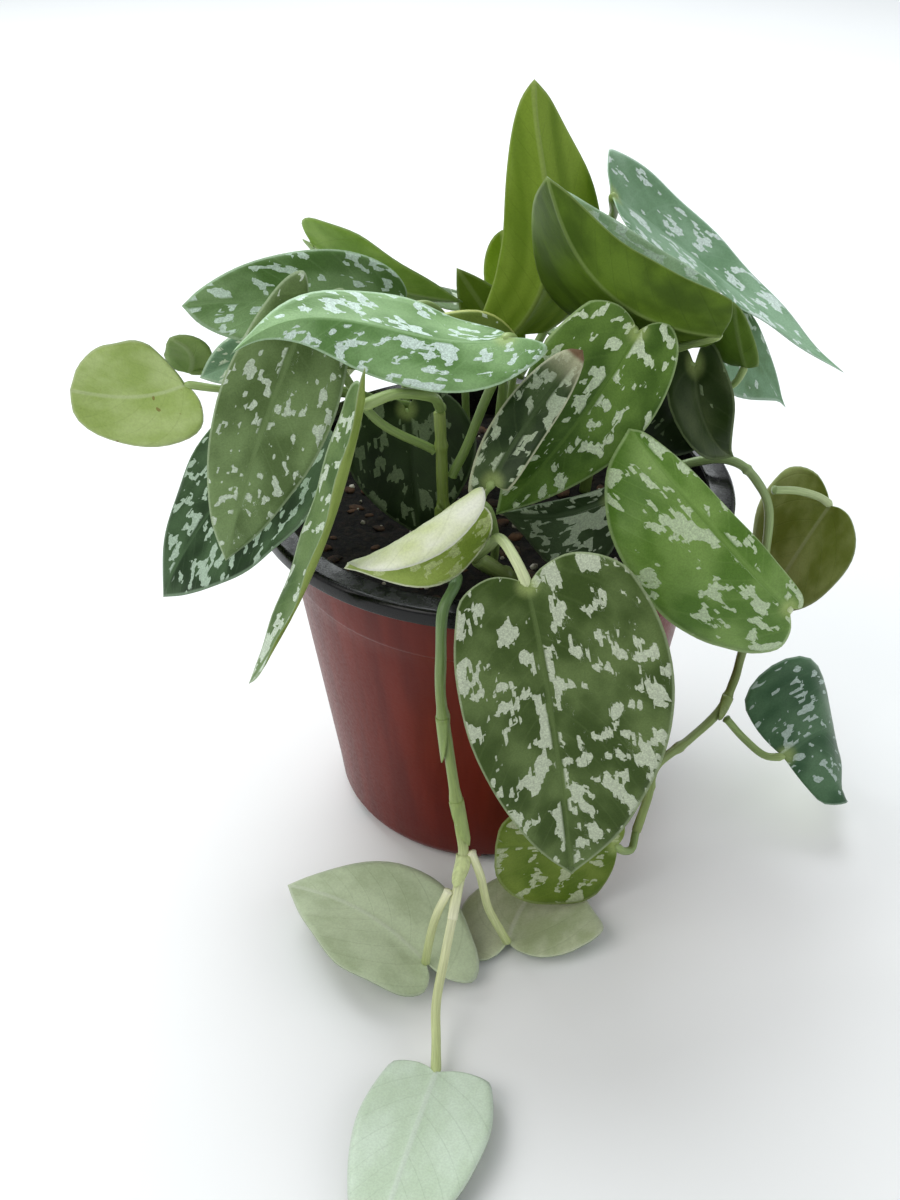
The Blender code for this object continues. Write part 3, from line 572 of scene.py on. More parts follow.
def colour_along(stops, place):
    """A colour between the stops, which are (place, screen colour)."""
    for (p, c), (q, d) in zip(stops, stops[1:]):
        if place <= q:
            f = 0 if q == p else max(0.0, min(1.0, (place - p) / (q - p)))
            return linear([x + (y - x) * f for x, y in zip(c, d)])
    return linear(stops[-1][1])


def add_tube(shape, points, radius_at, tone_stops, kind, sides=14, step=1.4):
    """A round tube along the smooth curve through the points, with rounded ends.

    radius_at takes the place as a key point's index, which need not be whole.
    """
    keys = [Vector(p) for p in points]
    spans = len(keys) - 1
    length = sum((b - a).length for a, b in zip(keys, keys[1:]))
    count = max(6, round(length / step))
    path = [smooth_at(keys, i / count) for i in range(count + 1)]
    heading = [(path[min(i + 1, count)] - path[max(i - 1, 0)]).normalized() for i in range(count + 1)]
    side = heading[0].orthogonal().normalized()
    rings = []
    tones = []
    for i, (p, d) in enumerate(zip(path, heading)):
        side = (side - side.dot(d) * d).normalized()
        other = d.cross(side)
        radius = radius_at(i / count * spans)
        tone = colour_along(tone_stops, i / count)
        rings.append([p + radius * (side * c + other * s) for c, s in circle(sides)])
        tones += [tone] * sides
    faces = []
    for i in range(count):
        for k in range(sides):
            n = (k + 1) % sides
            faces.append([i * sides + k, i * sides + n, (i + 1) * sides + n, (i + 1) * sides + k])
    flat_points = [p for ring in rings for p in ring]
    start = len(flat_points)
    flat_points += [path[0] - heading[0] * END_ROUND, path[-1] + heading[-1] * END_ROUND]
    tones += [tones[0], tones[-1]]
    last = count * sides
    for k in range(sides):
        n = (k + 1) % sides
        faces.append([n, k, start])
        faces.append([last + k, last + n, start + 1])
    flats = []
    run = 0.0
    for i in range(count + 1):
        run += (path[i] - path[i - 1]).length if i else 0
        flats += [(c, s, run) for c, s in circle(sides)]
    flats += [(0, 0, 0), (0, 0, run)]
    shape.add(flat_points, faces, [kind] * len(faces), flats, None, tones)


class Paint:
    """A material's node tree, with short calls for the nodes that are used here."""

    def __init__(self, name, roughness, specular=0.5):
        self.material = bpy.data.materials.new(name)
        self.material.use_nodes = True
        self.tree = self.material.node_tree
        self.shader = self.tree.nodes["Principled BSDF"]
        self.shader.inputs["Roughness"].default_value = roughness
        self.shader.inputs["Specular IOR Level"].default_value = specular

    def put(self, socket, value):
        if isinstance(value, bpy.types.NodeSocket):
            self.tree.links.new(value, socket)
        elif value is not None:
            socket.default_value = value

    def read(self, name, output="Vector"):
        node = self.tree.nodes.new("ShaderNodeAttribute")
        node.attribute_name = name
        return node.outputs[output]

    def place(self):
        """Where a point is in the object, in metres."""
        return self.tree.nodes.new("ShaderNodeTexCoord").outputs["Object"]

    def split(self, vector):
        node = self.tree.nodes.new("ShaderNodeSeparateXYZ")
        self.put(node.inputs[0], vector)
        return node.outputs[0], node.outputs[1], node.outputs[2]

    def join(self, x, y, z):
        node = self.tree.nodes.new("ShaderNodeCombineXYZ")
        for socket, value in zip(node.inputs, (x, y, z)):
            self.put(socket, value)
        return node.outputs[0]

    def math(self, operation, a, b=None, c=None):
        node = self.tree.nodes.new("ShaderNodeMath")
        node.operation = operation
        for socket, value in zip(node.inputs, (a, b, c)):
            self.put(socket, value)
        return node.outputs[0]

    def over(self, a, b):
        return self.math("DIVIDE", a, b)

    def times(self, a, b):
        return self.math("MULTIPLY", a, b)

    def times_plus(self, a, b, c):
        return self.math("MULTIPLY_ADD", a, b, c)

    def size_of(self, a):
        return self.math("ABSOLUTE", a)

    def stretched(self, x, y, across, along, seed):
        return self.join(self.over(x, across), self.over(y, along), seed)

    def noise(self, vector, scale, detail=2.0, roughness=0.5):
        node = self.tree.nodes.new("ShaderNodeTexNoise")
        self.put(node.inputs["Vector"], vector)
        node.inputs["Scale"].default_value = scale
        node.inputs["Detail"].default_value = detail
        node.inputs["Roughness"].default_value = roughness
        return node.outputs["Fac"]

    def cells(self, vector):
        node = self.tree.nodes.new("ShaderNodeTexWhiteNoise")
        self.put(node.inputs["Vector"], vector)
        return node.outputs["Value"]

    def band(self, value, low, high, out_low=0.0, out_high=1.0):
        """0 below low, 1 above high, smooth between."""
        node = self.tree.nodes.new("ShaderNodeMapRange")
        node.interpolation_type = "SMOOTHSTEP"
        for socket, x in zip(node.inputs, (value, low, high, out_low, out_high)):
            self.put(socket, x)
        return node.outputs[0]

    def mix(self, share, a, b, blend="MIX"):
        """Two colours mixed: sockets 6 and 7 of a Mix node, and its output 2, are the colour ones."""
        node = self.tree.nodes.new("ShaderNodeMix")
        node.data_type = "RGBA"
        node.blend_type = blend
        self.put(node.inputs[0], share)
        self.put(node.inputs[6], a)
        self.put(node.inputs[7], b)
        return node.outputs[2]

    def shaded(self, skin, shade):
        return self.mix(1.0, skin, self.join(shade, shade, shade), "MULTIPLY")

    def bump(self, height, strength, distance):
        node = self.tree.nodes.new("ShaderNodeBump")
        self.put(node.inputs["Height"], height)
        node.inputs["Strength"].default_value = strength
        node.inputs["Distance"].default_value = distance
        self.put(self.shader.inputs["Normal"], node.outputs[0])

    def colour(self, value):
        self.put(self.shader.inputs["Base Color"], value)


def vein_lines(p, b, low, high):
    """1 on the side veins, 0 between them."""
    turn = p.math("FRACT", p.over(b, VEIN_SPACING))
    return p.band(p.size_of(p.math("SUBTRACT", turn, 0.5)), low, high)


def rim_colour(look, share):
    """The margin's own colour, or else the light green with a share of the silver in it."""
    between = [c * (1 - share) + s * share for c, s in zip(look["light"], look["silver"])]
    return linear(look.get("rim", between))


def upper_paint(name, look, seed):
    """The satin upper side: two greens, toothed silver marks along the veins, a pale margin."""
    p = Paint(name, 0.44, LEAF_SPECULAR)
    x, y, edge = p.split(p.read("flat"))
    a, b, side = p.split(p.read("vein"))
    shift = p.math("ADD", side, seed * 7.3)
    size = look.get("size", 1.0)
    run = p.times_plus(a, -MARK_LEAN, y)
    patch = p.noise(p.stretched(a, run, PATCH_ACROSS * size, PATCH_ALONG * size, shift), 1.0, 1.0, 0.4)
    column = p.math("FLOOR", p.over(a, TOOTH_ACROSS))
    slip = p.cells(p.join(column, 0.5, shift))
    row = p.math("FLOOR", p.math("ADD", p.over(run, TOOTH_ALONG), slip))
    tooth = p.cells(p.join(column, row, shift))
    strip = p.noise(p.stretched(a, run, STRIP_ACROSS, STRIP_ALONG, shift), 1.0, 1.0, 0.5)
    value = p.times_plus(strip, STRIP_SHARE, p.times_plus(tooth, TOOTH_SHARE, patch))
    level = MARK_MIDDLE + MARK_SPREAD * NormalDist().inv_cdf(1 - look["amount"])
    marks = p.band(value, level, level + MARK_EDGE)
    marks = p.times(marks, p.band(p.size_of(x), 0.7, 1.6))
    grain = p.noise(p.join(x, y, shift), 2.4, 3.0, 0.65)
    cloud = p.noise(p.stretched(x, y, 13, 18, shift), 1.0, 2.0, 0.5)
    green = p.mix(p.band(cloud, 0.36, 0.66), linear(look["dark"]), linear(look["light"]))
    lines = vein_lines(p, b, 0.40, 0.5)
    green = p.mix(p.times(lines, 0.18), green, linear(look["light"]))
    rib = p.band(p.size_of(x), 0.25, 0.8, 0.45, 0.0)
    green = p.mix(rib, green, linear(look["light"]))
    dull = linear([c * 0.90 for c in look["silver"]])
    silver = p.mix(p.band(grain, 0.35, 0.7), dull, linear(look["silver"]))
    skin = p.mix(p.times(marks, 0.93), green, silver)
    skin = p.mix(p.band(edge, 0.30, 0.85, 0.85, 0.0), skin, rim_colour(look, 0.45))
    from_stalk = p.math("SQRT", p.math("ADD", p.times(x, x), p.times(y, y)))
    skin = p.mix(p.band(from_stalk, 1.0, 4.5, 0.55, 0.0), skin, linear(STALK_SPOT))
    if "dry" in look:
        dry = look["dry"]
        skin = p.mix(p.band(y, dry - 9, dry, 0.0, 0.75), skin, linear(WILTED))
        skin = p.mix(p.band(y, dry, dry + 1.5, 0.0, 0.95), skin, linear(DRIED))
    shade = p.band(grain, 0.3, 0.7, 0.86, 1.08)
    skin = p.shaded(skin, shade)
    p.colour(skin)
    p.put(p.shader.inputs["Roughness"], p.band(marks, 0.0, 1.0, 0.38, 0.5))
    height = p.times_plus(grain, 0.35, p.times(marks, 0.25))
    p.bump(p.times_plus(lines, 0.3, height), 0.35, 0.00025)
    return p.material


def under_paint(name, look, seed):
    """The plain underside: two greens in streaks or clouds, darker side veins, a pale midrib and margin."""
    p = Paint(name, 0.48, LEAF_SPECULAR)
    x, y, edge = p.split(p.read("flat"))
    _, b, _ = p.split(p.read("vein"))
    cloud = p.noise(p.stretched(x, y, 12, 20, seed * 3.1), 1.0, 3.0, 0.55)
    streak = p.noise(p.stretched(x, y, 4.5, 70, seed * 2.7), 1.0, 1.0, 0.4)
    share = p.mix(look.get("streaks", 0.0), p.join(cloud, cloud, cloud), p.join(streak, streak, streak))
    share, _, _ = p.split(share)
    skin = p.mix(p.band(share, 0.34, 0.66), linear(look["under"]), linear(look["under_light"]))
    strength = look.get("vein", 0.35)
    lines = vein_lines(p, b, 0.455, 0.5)
    dark = linear([c * 0.80 for c in look["under"]])
    skin = p.mix(p.times(lines, 0.5 * strength), skin, dark)
    grain = p.noise(p.join(x, y, seed * 1.7), 1.6, 3.0, 0.6)
    rib = p.band(p.size_of(x), 0.35, 1.1, 0.6, 0.0)
    pale = linear([c * 0.72 + 255 * 0.22 for c in look["under_light"]])
    skin = p.mix(rib, skin, pale)
    skin = p.mix(p.band(edge, 0.25, 0.8, 0.7, 0.0), skin, pale)
    if "spots" in look:
        rust = p.noise(p.stretched(x, y, 3.5, 3.5, seed + 0.4), 1.0, 0.0)
        skin = p.mix(p.band(rust, 0.80, 0.83, 0.0, 0.7), skin, linear(RUST))
    shade = p.band(grain, 0.3, 0.7, 0.93, 1.05)
    skin = p.shaded(skin, shade)
    p.colour(skin)
    height = p.times_plus(lines, -0.5, p.times(grain, 0.25))
    p.bump(height, 0.3, 0.00025)
    return p.material


def edge_paint(name, look):
    """The cut-thin edge of the blade, paler than both sides."""
    p = Paint(name, 0.5, 0.4)
    x, y, _ = p.split(p.read("flat"))
    wave = p.noise(p.join(x, y, 1.0), 0.6, 2.0)
    p.colour(p.mix(wave, rim_colour(look, 0.5), linear(look["light"])))
    return p.material


def stalk_paint(name):
    """Smooth stalks and stems: their own tone with fine streaks along them and small pale dots."""
    p = Paint(name, 0.4, 0.45)
    tone = p.read("tone", "Color")
    x, y, run = p.split(p.read("flat"))
    streak = p.noise(p.join(p.times(x, 3), p.times(y, 3), p.over(run, 9)), 1.0, 3.0, 0.6)
    fine = p.noise(p.join(p.times(x, 9), p.times(y, 9), p.over(run, 2)), 1.0, 2.0, 0.6)
    shade = p.band(streak, 0.3, 0.7, 0.84, 1.12)
    skin = p.shaded(tone, shade)
    skin = p.mix(p.band(fine, 0.66, 0.74, 0.0, 0.25), skin, linear((226, 228, 196)))
    p.colour(skin)
    p.bump(p.times_plus(fine, 0.4, streak), 0.25, 0.0003)
    return p.material


def stalk_tones(name):
    """Colours along a leaf's stalk, from the stem to the blade."""
    if name == "leaf_front":
        return [(0, (112, 128, 66)), (0.45, (168, 186, 130)), (0.8, STALK_PALE), (1, STALK_PALE)]
    if name in ("leaf_foot_pale", "leaf_floor_front", "leaf_floor_left"):
        return [(0, CREAM), (0.5, (206, 212, 158)), (1, (182, 196, 132))]
    if name in ("leaf_right_vine", "leaf_right_large"):
        return [(0, (150, 172, 112)), (1, (196, 210, 160))]
    return [(0, (122, 146, 78)), (0.7, STALK_GREEN), (1, (158, 180, 112))]


def build_leaf(spec, index, stalk_mat):
    name = spec["name"]
    look = spec["look"]
    seed = 1.0 + index * 1.37
    blade = Blade(spec)
    shape = Shape()
    add_blade(shape, blade, seed)
    first, second = (Vector(p) for p in spec["stalk"][:2])
    root = first - (second - first).normalized() * STALK_ROOT
    points = [root, *spec["stalk"], spec["base"]]
    last = len(points) - 1
    radius = spec["r"]

    def radius_at(place):
        near_blade = math.exp(-((place - last + 0.25) / 0.35) ** 2)
        near_stem = math.exp(-(place / 0.25) ** 2)
        tip = max(0.0, place - last + 0.12) / 0.12
        return radius * (0.92 + 0.10 * near_blade + 0.16 * near_stem) * (1 - 0.45 * tip ** 2)

    add_tube(shape, points, radius_at, stalk_tones(name), 3)
    mats = [upper_paint(name + "_upper", look, seed), under_paint(name + "_under", look, seed),
            edge_paint(name + "_edge", look), stalk_mat]
    made = new_object(name + "_fine", shape.mesh(name + "_fine", mats))
    stand_for(made, name)


VINE_NODES = {
    "vine_front": [0.6, 6.3, 7.55, 9.0],
    "vine_right": [3.4, 7.4, 9.5, 11.3, 12.6],
    "stem_centre": [1.0, 2.1],
    "stem_front": [0.7],
}
STEM_TONES = {
    "vine_front": [(0, (84, 112, 66)), (0.3, (104, 134, 86)), (0.55, (120, 142, 76)), (0.72, (150, 168, 98)),
                   (0.86, (206, 212, 162)), (1, CREAM)],
    "vine_right": [(0, (150, 172, 116)), (0.4, (150, 172, 116)), (0.6, (112, 128, 66)), (0.8, (124, 144, 78)),
                   (1, (140, 158, 90))],
    "stem_centre": [(0, (96, 116, 44)), (1, (140, 158, 82))],
    "stem_front": [(0, (74, 88, 38)), (1, (128, 146, 84))],
}
# Sheaths round a stem: place along its key points, length, side it lies on
SHEATHS = {
    "vine_front": [(6.3, 13, (-1, -0.4, 0)), (7.55, 14, (0.9, -0.8, 0)), (8.9, 9, (-0.5, -1, 0))],
    "stem_centre": [(0.35, 15, (-0.6, -1, 0))],
    "vine_right": [(9.5, 8, (0.7, -0.7, 0.3))],
    "stem_right": [(1.1, 12, (0.5, -1, 0))],
}


def add_sheath(shape, keys, place, length, side, radius, tone):
    """A pointed papery sheath that wraps half round a stem and stands a little off it at its tip."""
    spans = len(keys) - 1
    rows = 8
    columns = 8
    path = []
    at = place / spans
    step = 0.002
    walk = 0.0
    before = smooth_at(keys, at)
    path.append(before)
    while len(path) <= rows and 0 < at < 1 - step:
        at += step
        now = smooth_at(keys, at)
        walk += (now - before).length
        before = now
        if walk >= length / rows:
            path.append(now)
            walk = 0.0
    rows = len(path) - 1
    if rows < 3:
        return
    outer = []
    inner = []
    for i, p in enumerate(path):
        d = (path[min(i + 1, rows)] - path[max(i - 1, 0)]).normalized()
        out = Vector(side)
        out = (out - out.dot(d) * d).normalized()
        across = d.cross(out)
        share = i / rows
        half = math.radians(115 * (1 - share) ** 0.7 + 4)
        reach = radius * (1.10 + 0.28 * share) + 0.12
        for j in range(columns + 1):
            angle = half * (2 * j / columns - 1)
            ray = out * math.cos(angle) + across * math.sin(angle)
            outer.append(p + ray * (reach + SHEATH_WALL))
            inner.append(p + ray * reach)
    width = columns + 1
    count = len(outer)
    faces = []
    for i in range(rows):
        for j in range(columns):
            a = i * width + j
            faces.append([a, a + 1, a + width + 1, a + width])
    under = [[i + count for i in reversed(face)] for face in faces]
    rim = [[b, a, a + count, b + count] for a, b in outline_edges(faces)]
    faces = faces + under + rim
    total = outer + inner
    middle = sum((faces_normal(total, f) for f in faces[:rows * columns]), Vector((0, 0, 0)))
    if middle.dot(Vector(side)) < 0:
        faces = [list(reversed(face)) for face in faces]
    flats = [(p.x * 0.3, p.y * 0.3, p.z) for p in total]
    shape.add(total, faces, [0] * len(faces), flats, None, [linear(tone)] * len(total))


def faces_normal(points, face):
    a, b, c = (points[i] for i in face[:3])
    return (b - a).cross(c - a)


def build_stem(spec, stalk_mat):
    name = spec["name"]
    radius = spec["radius"]
    rings = VINE_NODES.get(name, [0.9])
    shape = Shape()

    def radius_at(place):
        swell = sum(math.exp(-((place - r) / 0.09) ** 2) for r in rings)
        wave = 0.03 * math.sin(place * 5.1)
        return radius * (0.93 + 0.26 * min(1.0, swell) + wave)

    tones = STEM_TONES.get(name, [(0, (92, 112, 52)), (1, (134, 154, 84))])
    add_tube(shape, spec["points"], radius_at, tones, 0, sides=16, step=0.9)
    keys = [Vector(p) for p in spec["points"]]
    for place, length, side in SHEATHS.get(name, []):
        tone = colour_along(tones, place / (len(keys) - 1))
        screen = [255 * (c ** (1 / 2.2)) * 1.06 for c in tone[:3]]
        add_sheath(shape, keys, place, length, side, radius, screen)
    made = new_object(name + "_fine", shape.mesh(name + "_fine", [stalk_mat]))
    stand_for(made, name)


def body_radius(z):
    """Outside radius of the pot's wall at a height."""
    top = POT_HEIGHT - LIP_DEPTH
    radius = BASE_RADIUS + (BODY_TOP_RADIUS - BASE_RADIUS) * z / top
    return radius if z > top - STEP_DROP else radius - STEP_IN


def arc(x, z, radius, start, end, count):
    """Points of a rounded corner in the pot's half profile."""
    found = []
    for i in range(count + 1):
        a = math.radians(start + (end - start) * i / count)
        found.append((x + radius * math.cos(a), z + radius * math.sin(a)))
    return found


def pot_profile():
    """The pot's half profile, base centre to floor centre. Returns it with where the black begins."""
    centre = body_radius(BASE_ROUND) - BASE_ROUND * math.cos(math.radians(12))
    lip_from = POT_HEIGHT - LIP_DEPTH
    outside = [(0, BASE_HOLLOW), (BASE_RADIUS * 0.72, BASE_HOLLOW), (BASE_RADIUS * 0.76, 0.0)]
    outside += arc(centre, BASE_ROUND, BASE_ROUND, -90, -12, 10)
    step = lip_from - STEP_DROP
    outside += [(body_radius(z), z) for z in range(16, int(step) - 1, 8)]
    outside += [(body_radius(step - 0.9), step - 0.9), (body_radius(step - 0.6) + 0.12, step - 0.5),
                (body_radius(step + 0.01) - 0.05, step), (body_radius(step + 0.6), step + 0.7)]
    outside += [(body_radius(step + z), step + z) for z in (6, 12, 17)]
    outside += [(BODY_TOP_RADIUS, lip_from - 0.4)]
    black_from = len(outside)
    under = POT_HEIGHT - WALL
    skirt = RIM_RADIUS - WALL
    lip = [(BODY_TOP_RADIUS + 0.3, lip_from + 0.2), (BODY_TOP_RADIUS + 0.5, under), (skirt, under),
           (skirt, lip_from + 0.3)]
    lip += arc(RIM_RADIUS - HEM_ROUND, lip_from + 0.5, HEM_ROUND, -150, 0, 5)
    lip += arc(RIM_RADIUS - LIP_ROUND, POT_HEIGHT - LIP_ROUND, LIP_ROUND, 8, 90, 7)
    lip += arc(BODY_TOP_RADIUS + 0.3, POT_HEIGHT - MOUTH_ROUND, MOUTH_ROUND, 90, 172, 6)
    floor = WALL
    corner = floor + BASE_ROUND * 0.7
    top = POT_HEIGHT - 6
    inside = [(body_radius(top) - WALL, top), (body_radius(POT_HEIGHT - 40) - WALL, POT_HEIGHT - 40),
              (body_radius(corner) - WALL - 0.5, corner), (body_radius(corner) - WALL - 2.6, floor + 2.4),
              (body_radius(corner) - WALL - 7.0, floor), (0, floor)]
    return outside + lip + inside, black_from


def turned_mesh(name, profile, kinds, materials, turns):
    """A closed round solid from a half profile that starts and ends on the axis."""
    points = []
    rings = []
    for r, z in profile:
        if r < 1e-6:
            rings.append([len(points)])
            points.append(Vector((0, 0, z)))
            continue
        rings.append(list(range(len(points), len(points) + turns)))
        points += [Vector((r * c, r * s, z)) for c, s in circle(turns)]
    faces = []
    marks = []
    for i, (low, high) in enumerate(zip(rings, rings[1:])):
        for k in range(turns):
            n = (k + 1) % turns
            corners = [low[k % len(low)], low[n % len(low)], high[n % len(high)], high[k % len(high)]]
            faces.append(list(dict.fromkeys(corners)))
            marks.append(kinds[i])
    mesh = smooth_mesh(name, points, faces, marks, materials)
    mesh.update()
    return mesh


def red_paint():
    """Moulded red-brown plastic: faint flow lines, fine scuffs round the wall, and painted shade that darkens
    it low down.
    """
    p = Paint("pot_red", 0.4, 0.18)
    place = p.place()
    x, y, z = p.split(place)
    angle = p.math("ARCTAN2", y, x)
    flow = p.noise(p.join(p.times(angle, 9), p.times(z, 18), 0.0), 1.0, 3.0, 0.55)
    grain = p.noise(place, 900.0, 3.0, 0.6)
    scuff = p.noise(p.join(p.times(angle, 4), p.times(z, 300), 2.0), 1.0, 4.0, 0.7)
    skin = p.mix(p.band(flow, 0.3, 0.7), linear((92, 22, 11)), linear((110, 32, 18)))
    skin = p.mix(p.band(scuff, 0.62, 0.8, 0.0, 0.14), skin, linear((150, 70, 50)))
    # Painted shade: the wall darkens towards the floor.
    skin = p.mix(p.band(z, 0.0, 0.035, 0.35, 0.0), skin, linear((88, 26, 22)))
    p.colour(skin)
    p.put(p.shader.inputs["Roughness"], p.band(grain, 0.3, 0.7, 0.30, 0.42))
    p.bump(p.times_plus(flow, 0.6, grain), 0.12, 0.0004)
    return p.material


def black_paint():
    """Black plastic of the rolled lip and the inside: glossy, with rougher patches of soil dust here and
    there.
    """
    p = Paint("pot_black", 0.26, 0.3)
    place = p.place()
    grain = p.noise(place, 700.0, 3.0, 0.6)
    dust = p.noise(place, 160.0, 4.0, 0.7)
    skin = p.mix(p.band(dust, 0.55, 0.8, 0.0, 0.5), linear((10, 10, 11)), linear((40, 37, 33)))
    p.colour(skin)
    p.put(p.shader.inputs["Roughness"], p.band(dust, 0.4, 0.7, 0.2, 0.42))
    p.bump(grain, 0.1, 0.0003)
    return p.material


def drain_cutter(angle, material):
    """A slanted rod across the edge of the pot's base."""
    bm = bmesh.new()
    bmesh.ops.create_cone(bm, cap_ends=True, segments=28, radius1=HOLE_RADIUS * MM,
                          radius2=HOLE_RADIUS * MM, depth=HOLE_DEPTH * MM)
    mesh = bpy.data.meshes.new("drain")
    bm.to_mesh(mesh)
    bm.free()
    mesh.materials.append(material)
    cutter = new_object("drain", mesh)
    reach = (BASE_RADIUS - HOLE_INSET) * MM
    cutter.location = (reach * math.cos(angle), reach * math.sin(angle), 0)
    cutter.rotation_euler = (0, math.radians(HOLE_SLANT), angle)
    return cutter


def build_pot():
    profile, black_from = pot_profile()
    kinds = [0 if i < black_from else 1 for i in range(len(profile) - 1)]
    mesh = turned_mesh("pot_fine", profile, kinds, [red_paint(), black_paint()], POT_TURNS)
    pot = new_object("pot_fine", mesh)
    for i in range(HOLE_COUNT):
        cutter = drain_cutter(math.radians(-90 + 360 * i / HOLE_COUNT), mesh.materials[0])
        cut = pot.modifiers.new("cut", "BOOLEAN")
        cut.operation = "DIFFERENCE"
        cut.solver = "EXACT"
        cut.object = cutter
        bpy.context.view_layer.update()
        graph = bpy.context.evaluated_depsgraph_get()
        done = bpy.data.meshes.new_from_object(pot.evaluated_get(graph))
        pot.modifiers.clear()
        pot.data = done
        bpy.data.objects.remove(cutter)
    pot.data.name = "pot_fine"
    sharpen(pot)
    stand_for(pot, "pot")


def sharpen(obj, degrees=35):
    """Smooth faces with sharp edges where they meet at more than the angle."""
    bm = bmesh.new()
    bm.from_mesh(obj.data)
    for edge in bm.edges:
        edge.smooth = len(edge.link_faces) == 2 and edge.calc_face_angle(0) < math.radians(degrees)
    for face in bm.faces:
        face.smooth = True
    bm.to_mesh(obj.data)
    bm.free()


def soil_paint():
    """Dark moist potting mix with brown fibres and grey-brown crumbs; its nearly black peat is partly its own
    colour and partly painted shade of the pot's inside.
    """
    p = Paint("soil_mix", 0.9, 0.25)
    place = p.place()
    crumbs = p.noise(place, 420.0, 4.0, 0.7)
    clods = p.noise(place, 120.0, 3.0, 0.6)
    # The near-black base is partly painted shade of the pot's inside.
    skin = p.mix(p.band(crumbs, 0.42, 0.68), linear((9, 8, 7)), linear((36, 28, 22)))
    skin = p.mix(p.band(clods, 0.5, 0.7, 0.0, 0.6), skin, linear((20, 16, 14)))
    skin = p.mix(p.band(crumbs, 0.70, 0.76, 0.0, 0.7), skin, linear((56, 46, 36)))
    p.colour(skin)
    p.bump(p.times_plus(clods, 0.8, crumbs), 0.9, 0.0012)
    return p.material


def build_soil(rng):
    """The mix fills the pot; its top is crumbly, with perlite and bark chips lying in it."""
    top = POT_HEIGHT - SOIL_DROP
    inset = WALL + GAP
    corner = inset + BASE_ROUND * 0.7
    rim_at = top - SOIL_CROWN
    foot = body_radius(corner) - inset
    edge = body_radius(rim_at) - inset - 0.05
    profile = [(0, inset), (foot - 7.0, inset), (foot - 2.6, inset + 2.4), (foot - 0.5, corner),
               (edge, rim_at)]
    for i in range(1, SOIL_RINGS):
        profile.append((edge * (1 - i / SOIL_RINGS), rim_at + SOIL_CROWN * (i / SOIL_RINGS)))
    profile.append((0, top))
    mesh = turned_mesh("soil_fine", profile, [0] * (len(profile) - 1), [soil_paint()], SOIL_TURNS)
    for vert in mesh.vertices:
        x, y, z = vert.co / MM
        if z < rim_at - 0.01:
            continue
        share = min(1.0, (edge - math.hypot(x, y)) / 3.0)
        rough = noise.fractal(Vector((x, y, 3)) * 0.35, 0.9, 2.1, 4)
        lumps = noise.noise(Vector((x, y, 9)) * 0.11)
        vert.co.z += (0.75 * rough + 0.8 * lumps) * MM * (0.25 + 0.75 * share) + 0.2 * MM
    mesh.update()
    soil = new_object("soil_fine", mesh)
    stand_for(soil, "soil")
    build_crumbs("perlite_grains", PERLITE_COUNT, PERLITE_RADII, 1.0, edge, top, rng, perlite_paint())
    build_crumbs("bark_chips", BARK_COUNT, BARK_RADII, BARK_FLATNESS, edge, top, rng, bark_paint())


def build_crumbs(name, count, radii, flatness, edge, top, rng, mat):
    """Small uneven lumps scattered over the soil, half sunk in it."""
    bm = bmesh.new()
    for _ in range(count):
        r = (edge - 2.5) * math.sqrt(rng.random())
        a = rng.uniform(0, 2 * math.pi)
        size = rng.uniform(*radii) ** 1.2
        spin = rng.uniform(0, math.pi)
        offset = Vector((rng.uniform(0, 99), rng.uniform(0, 99), rng.uniform(0, 99)))
        stretch = rng.uniform(1.0, 1.0 + 1.4 * (1 - flatness))
        made = bmesh.ops.create_icosphere(bm, subdivisions=2, radius=1.0)
        height = top - SOIL_CROWN * (r / edge) + 0.35
        for vert in made["verts"]:
            p = vert.co.copy()
            p *= 1 + 0.35 * noise.noise(p * 1.4 + offset)
            p = Vector((p.x * stretch, p.y, p.z * flatness)) * size
            x = p.x * math.cos(spin) - p.y * math.sin(spin)
            y = p.x * math.sin(spin) + p.y * math.cos(spin)
            vert.co = Vector((x + r * math.cos(a), y + r * math.sin(a), p.z + height)) * MM
    mesh = bpy.data.meshes.new(name)
    bm.to_mesh(mesh)
    bm.free()
    mesh.materials.append(mat)
    mesh.polygons.foreach_set("use_smooth", [True] * len(mesh.polygons))
    made = new_object(name, mesh)
    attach(made, "root")


def perlite_paint():
    """Puffed glassy grains, off-white and stained by the soil."""
    p = Paint("perlite", 0.75, 0.4)
    place = p.place()
    stain = p.noise(place, 260.0, 3.0, 0.6)
    p.colour(p.mix(p.band(stain, 0.35, 0.68), linear((206, 200, 188)), linear((96, 86, 72))))
    p.bump(p.noise(place, 2600.0, 2.0), 0.6, 0.0002)
    return p.material


def bark_paint():
    """Composted bark: dark brown with a fibrous grain."""
    p = Paint("bark", 0.85, 0.3)
    place = p.place()
    grain = p.noise(place, 1400.0, 3.0, 0.7)
    tint = p.noise(place, 140.0, 2.0)
    wood = p.mix(p.band(tint, 0.35, 0.65), linear((28, 20, 15)), linear((78, 52, 34)))
    p.colour(p.mix(p.band(grain, 0.5, 0.75, 0.0, 0.4), wood, linear((116, 88, 60))))
    p.bump(grain, 0.7, 0.0004)
    return p.material


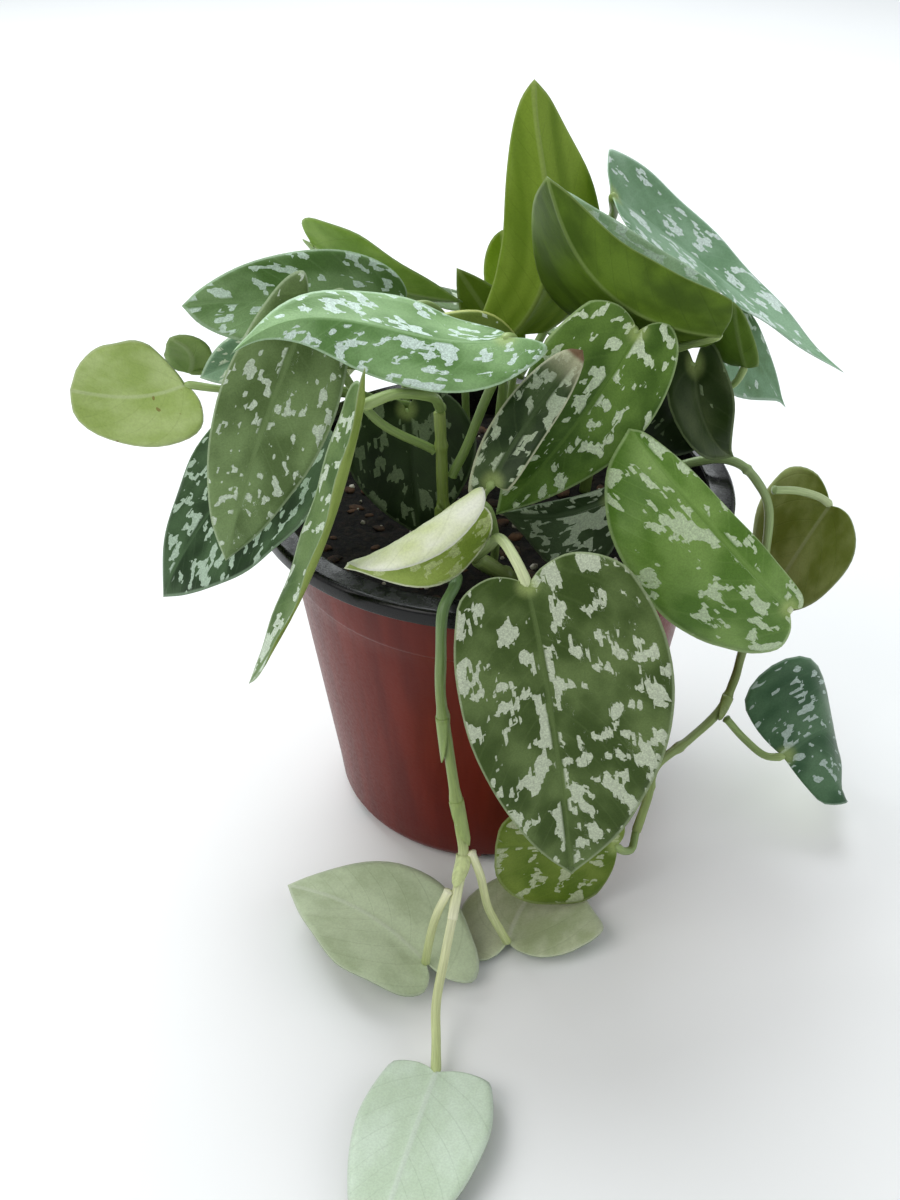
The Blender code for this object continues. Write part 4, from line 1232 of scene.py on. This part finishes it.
def floor_paint():
    """A plain pale studio floor."""
    p = Paint("studio_floor", 0.7, 0.2)
    place = p.place()
    tone = p.noise(place, 3.0, 2.0)
    p.colour(p.mix(p.band(tone, 0.3, 0.7), linear((243, 243, 243)), linear((246, 246, 246))))
    return p.material


def area_light(name, place, target, size, power, colour):
    lamp = bpy.data.lights.new(name, "AREA")
    lamp.shape = "RECTANGLE"
    lamp.size, lamp.size_y = size
    lamp.energy = power
    lamp.color = colour
    made = new_object(name, lamp)
    made.location = place
    made.rotation_euler = (Vector(target) - Vector(place)).to_track_quat("-Z", "Y").to_euler()


def build_studio():
    """Floor, soft lights, pale world and the camera."""
    scene = bpy.context.scene
    bm = bmesh.new()
    bmesh.ops.create_grid(bm, x_segments=8, y_segments=8, size=FLOOR_REACH)
    mesh = bpy.data.meshes.new("studio_floor")
    bm.to_mesh(mesh)
    bm.free()
    mesh.materials.append(floor_paint())
    new_object("studio_floor", mesh)
    world = bpy.data.worlds.new("studio_world")
    scene.world = world
    world.use_nodes = True
    back = world.node_tree.nodes["Background"]
    back.inputs["Color"].default_value = (0.93, 0.97, 1.0, 1)
    back.inputs["Strength"].default_value = 0.45
    area_light("window", (-0.25, 0.75, 1.05), (0, 0, 0.12), (1.3, 1.0), 17.0, (0.93, 0.98, 1.0))
    area_light("key", (-0.75, -0.55, 0.85), (0, 0, 0.1), (0.8, 0.8), 5.0, (1.0, 0.98, 0.94))
    area_light("fill", (0.9, -0.3, 0.5), (0, 0, 0.1), (0.8, 0.6), 1.6, (1.0, 1.0, 0.97))
    scene.view_settings.view_transform = "Standard"
    camera = bpy.data.cameras.new("photo_camera")
    camera.lens = CAMERA_LENS
    camera.sensor_width = 36.0
    camera.clip_start = 0.01
    camera.clip_end = 50.0
    made = new_object("photo_camera", camera)
    made.location = CAMERA_PLACE
    made.rotation_euler = (math.radians(90 - CAMERA_DOWN), 0, 0)
    scene.camera = made


def main():
    rng = random.Random(SCATTER_SEED)
    stalk_mat = stalk_paint("stalk")
    for spec in STEMS:
        build_stem(spec, stalk_mat)
    for index, spec in enumerate(LEAVES):
        build_leaf(spec, index, stalk_mat)
    build_pot()
    build_soil(rng)
    build_studio()


main()
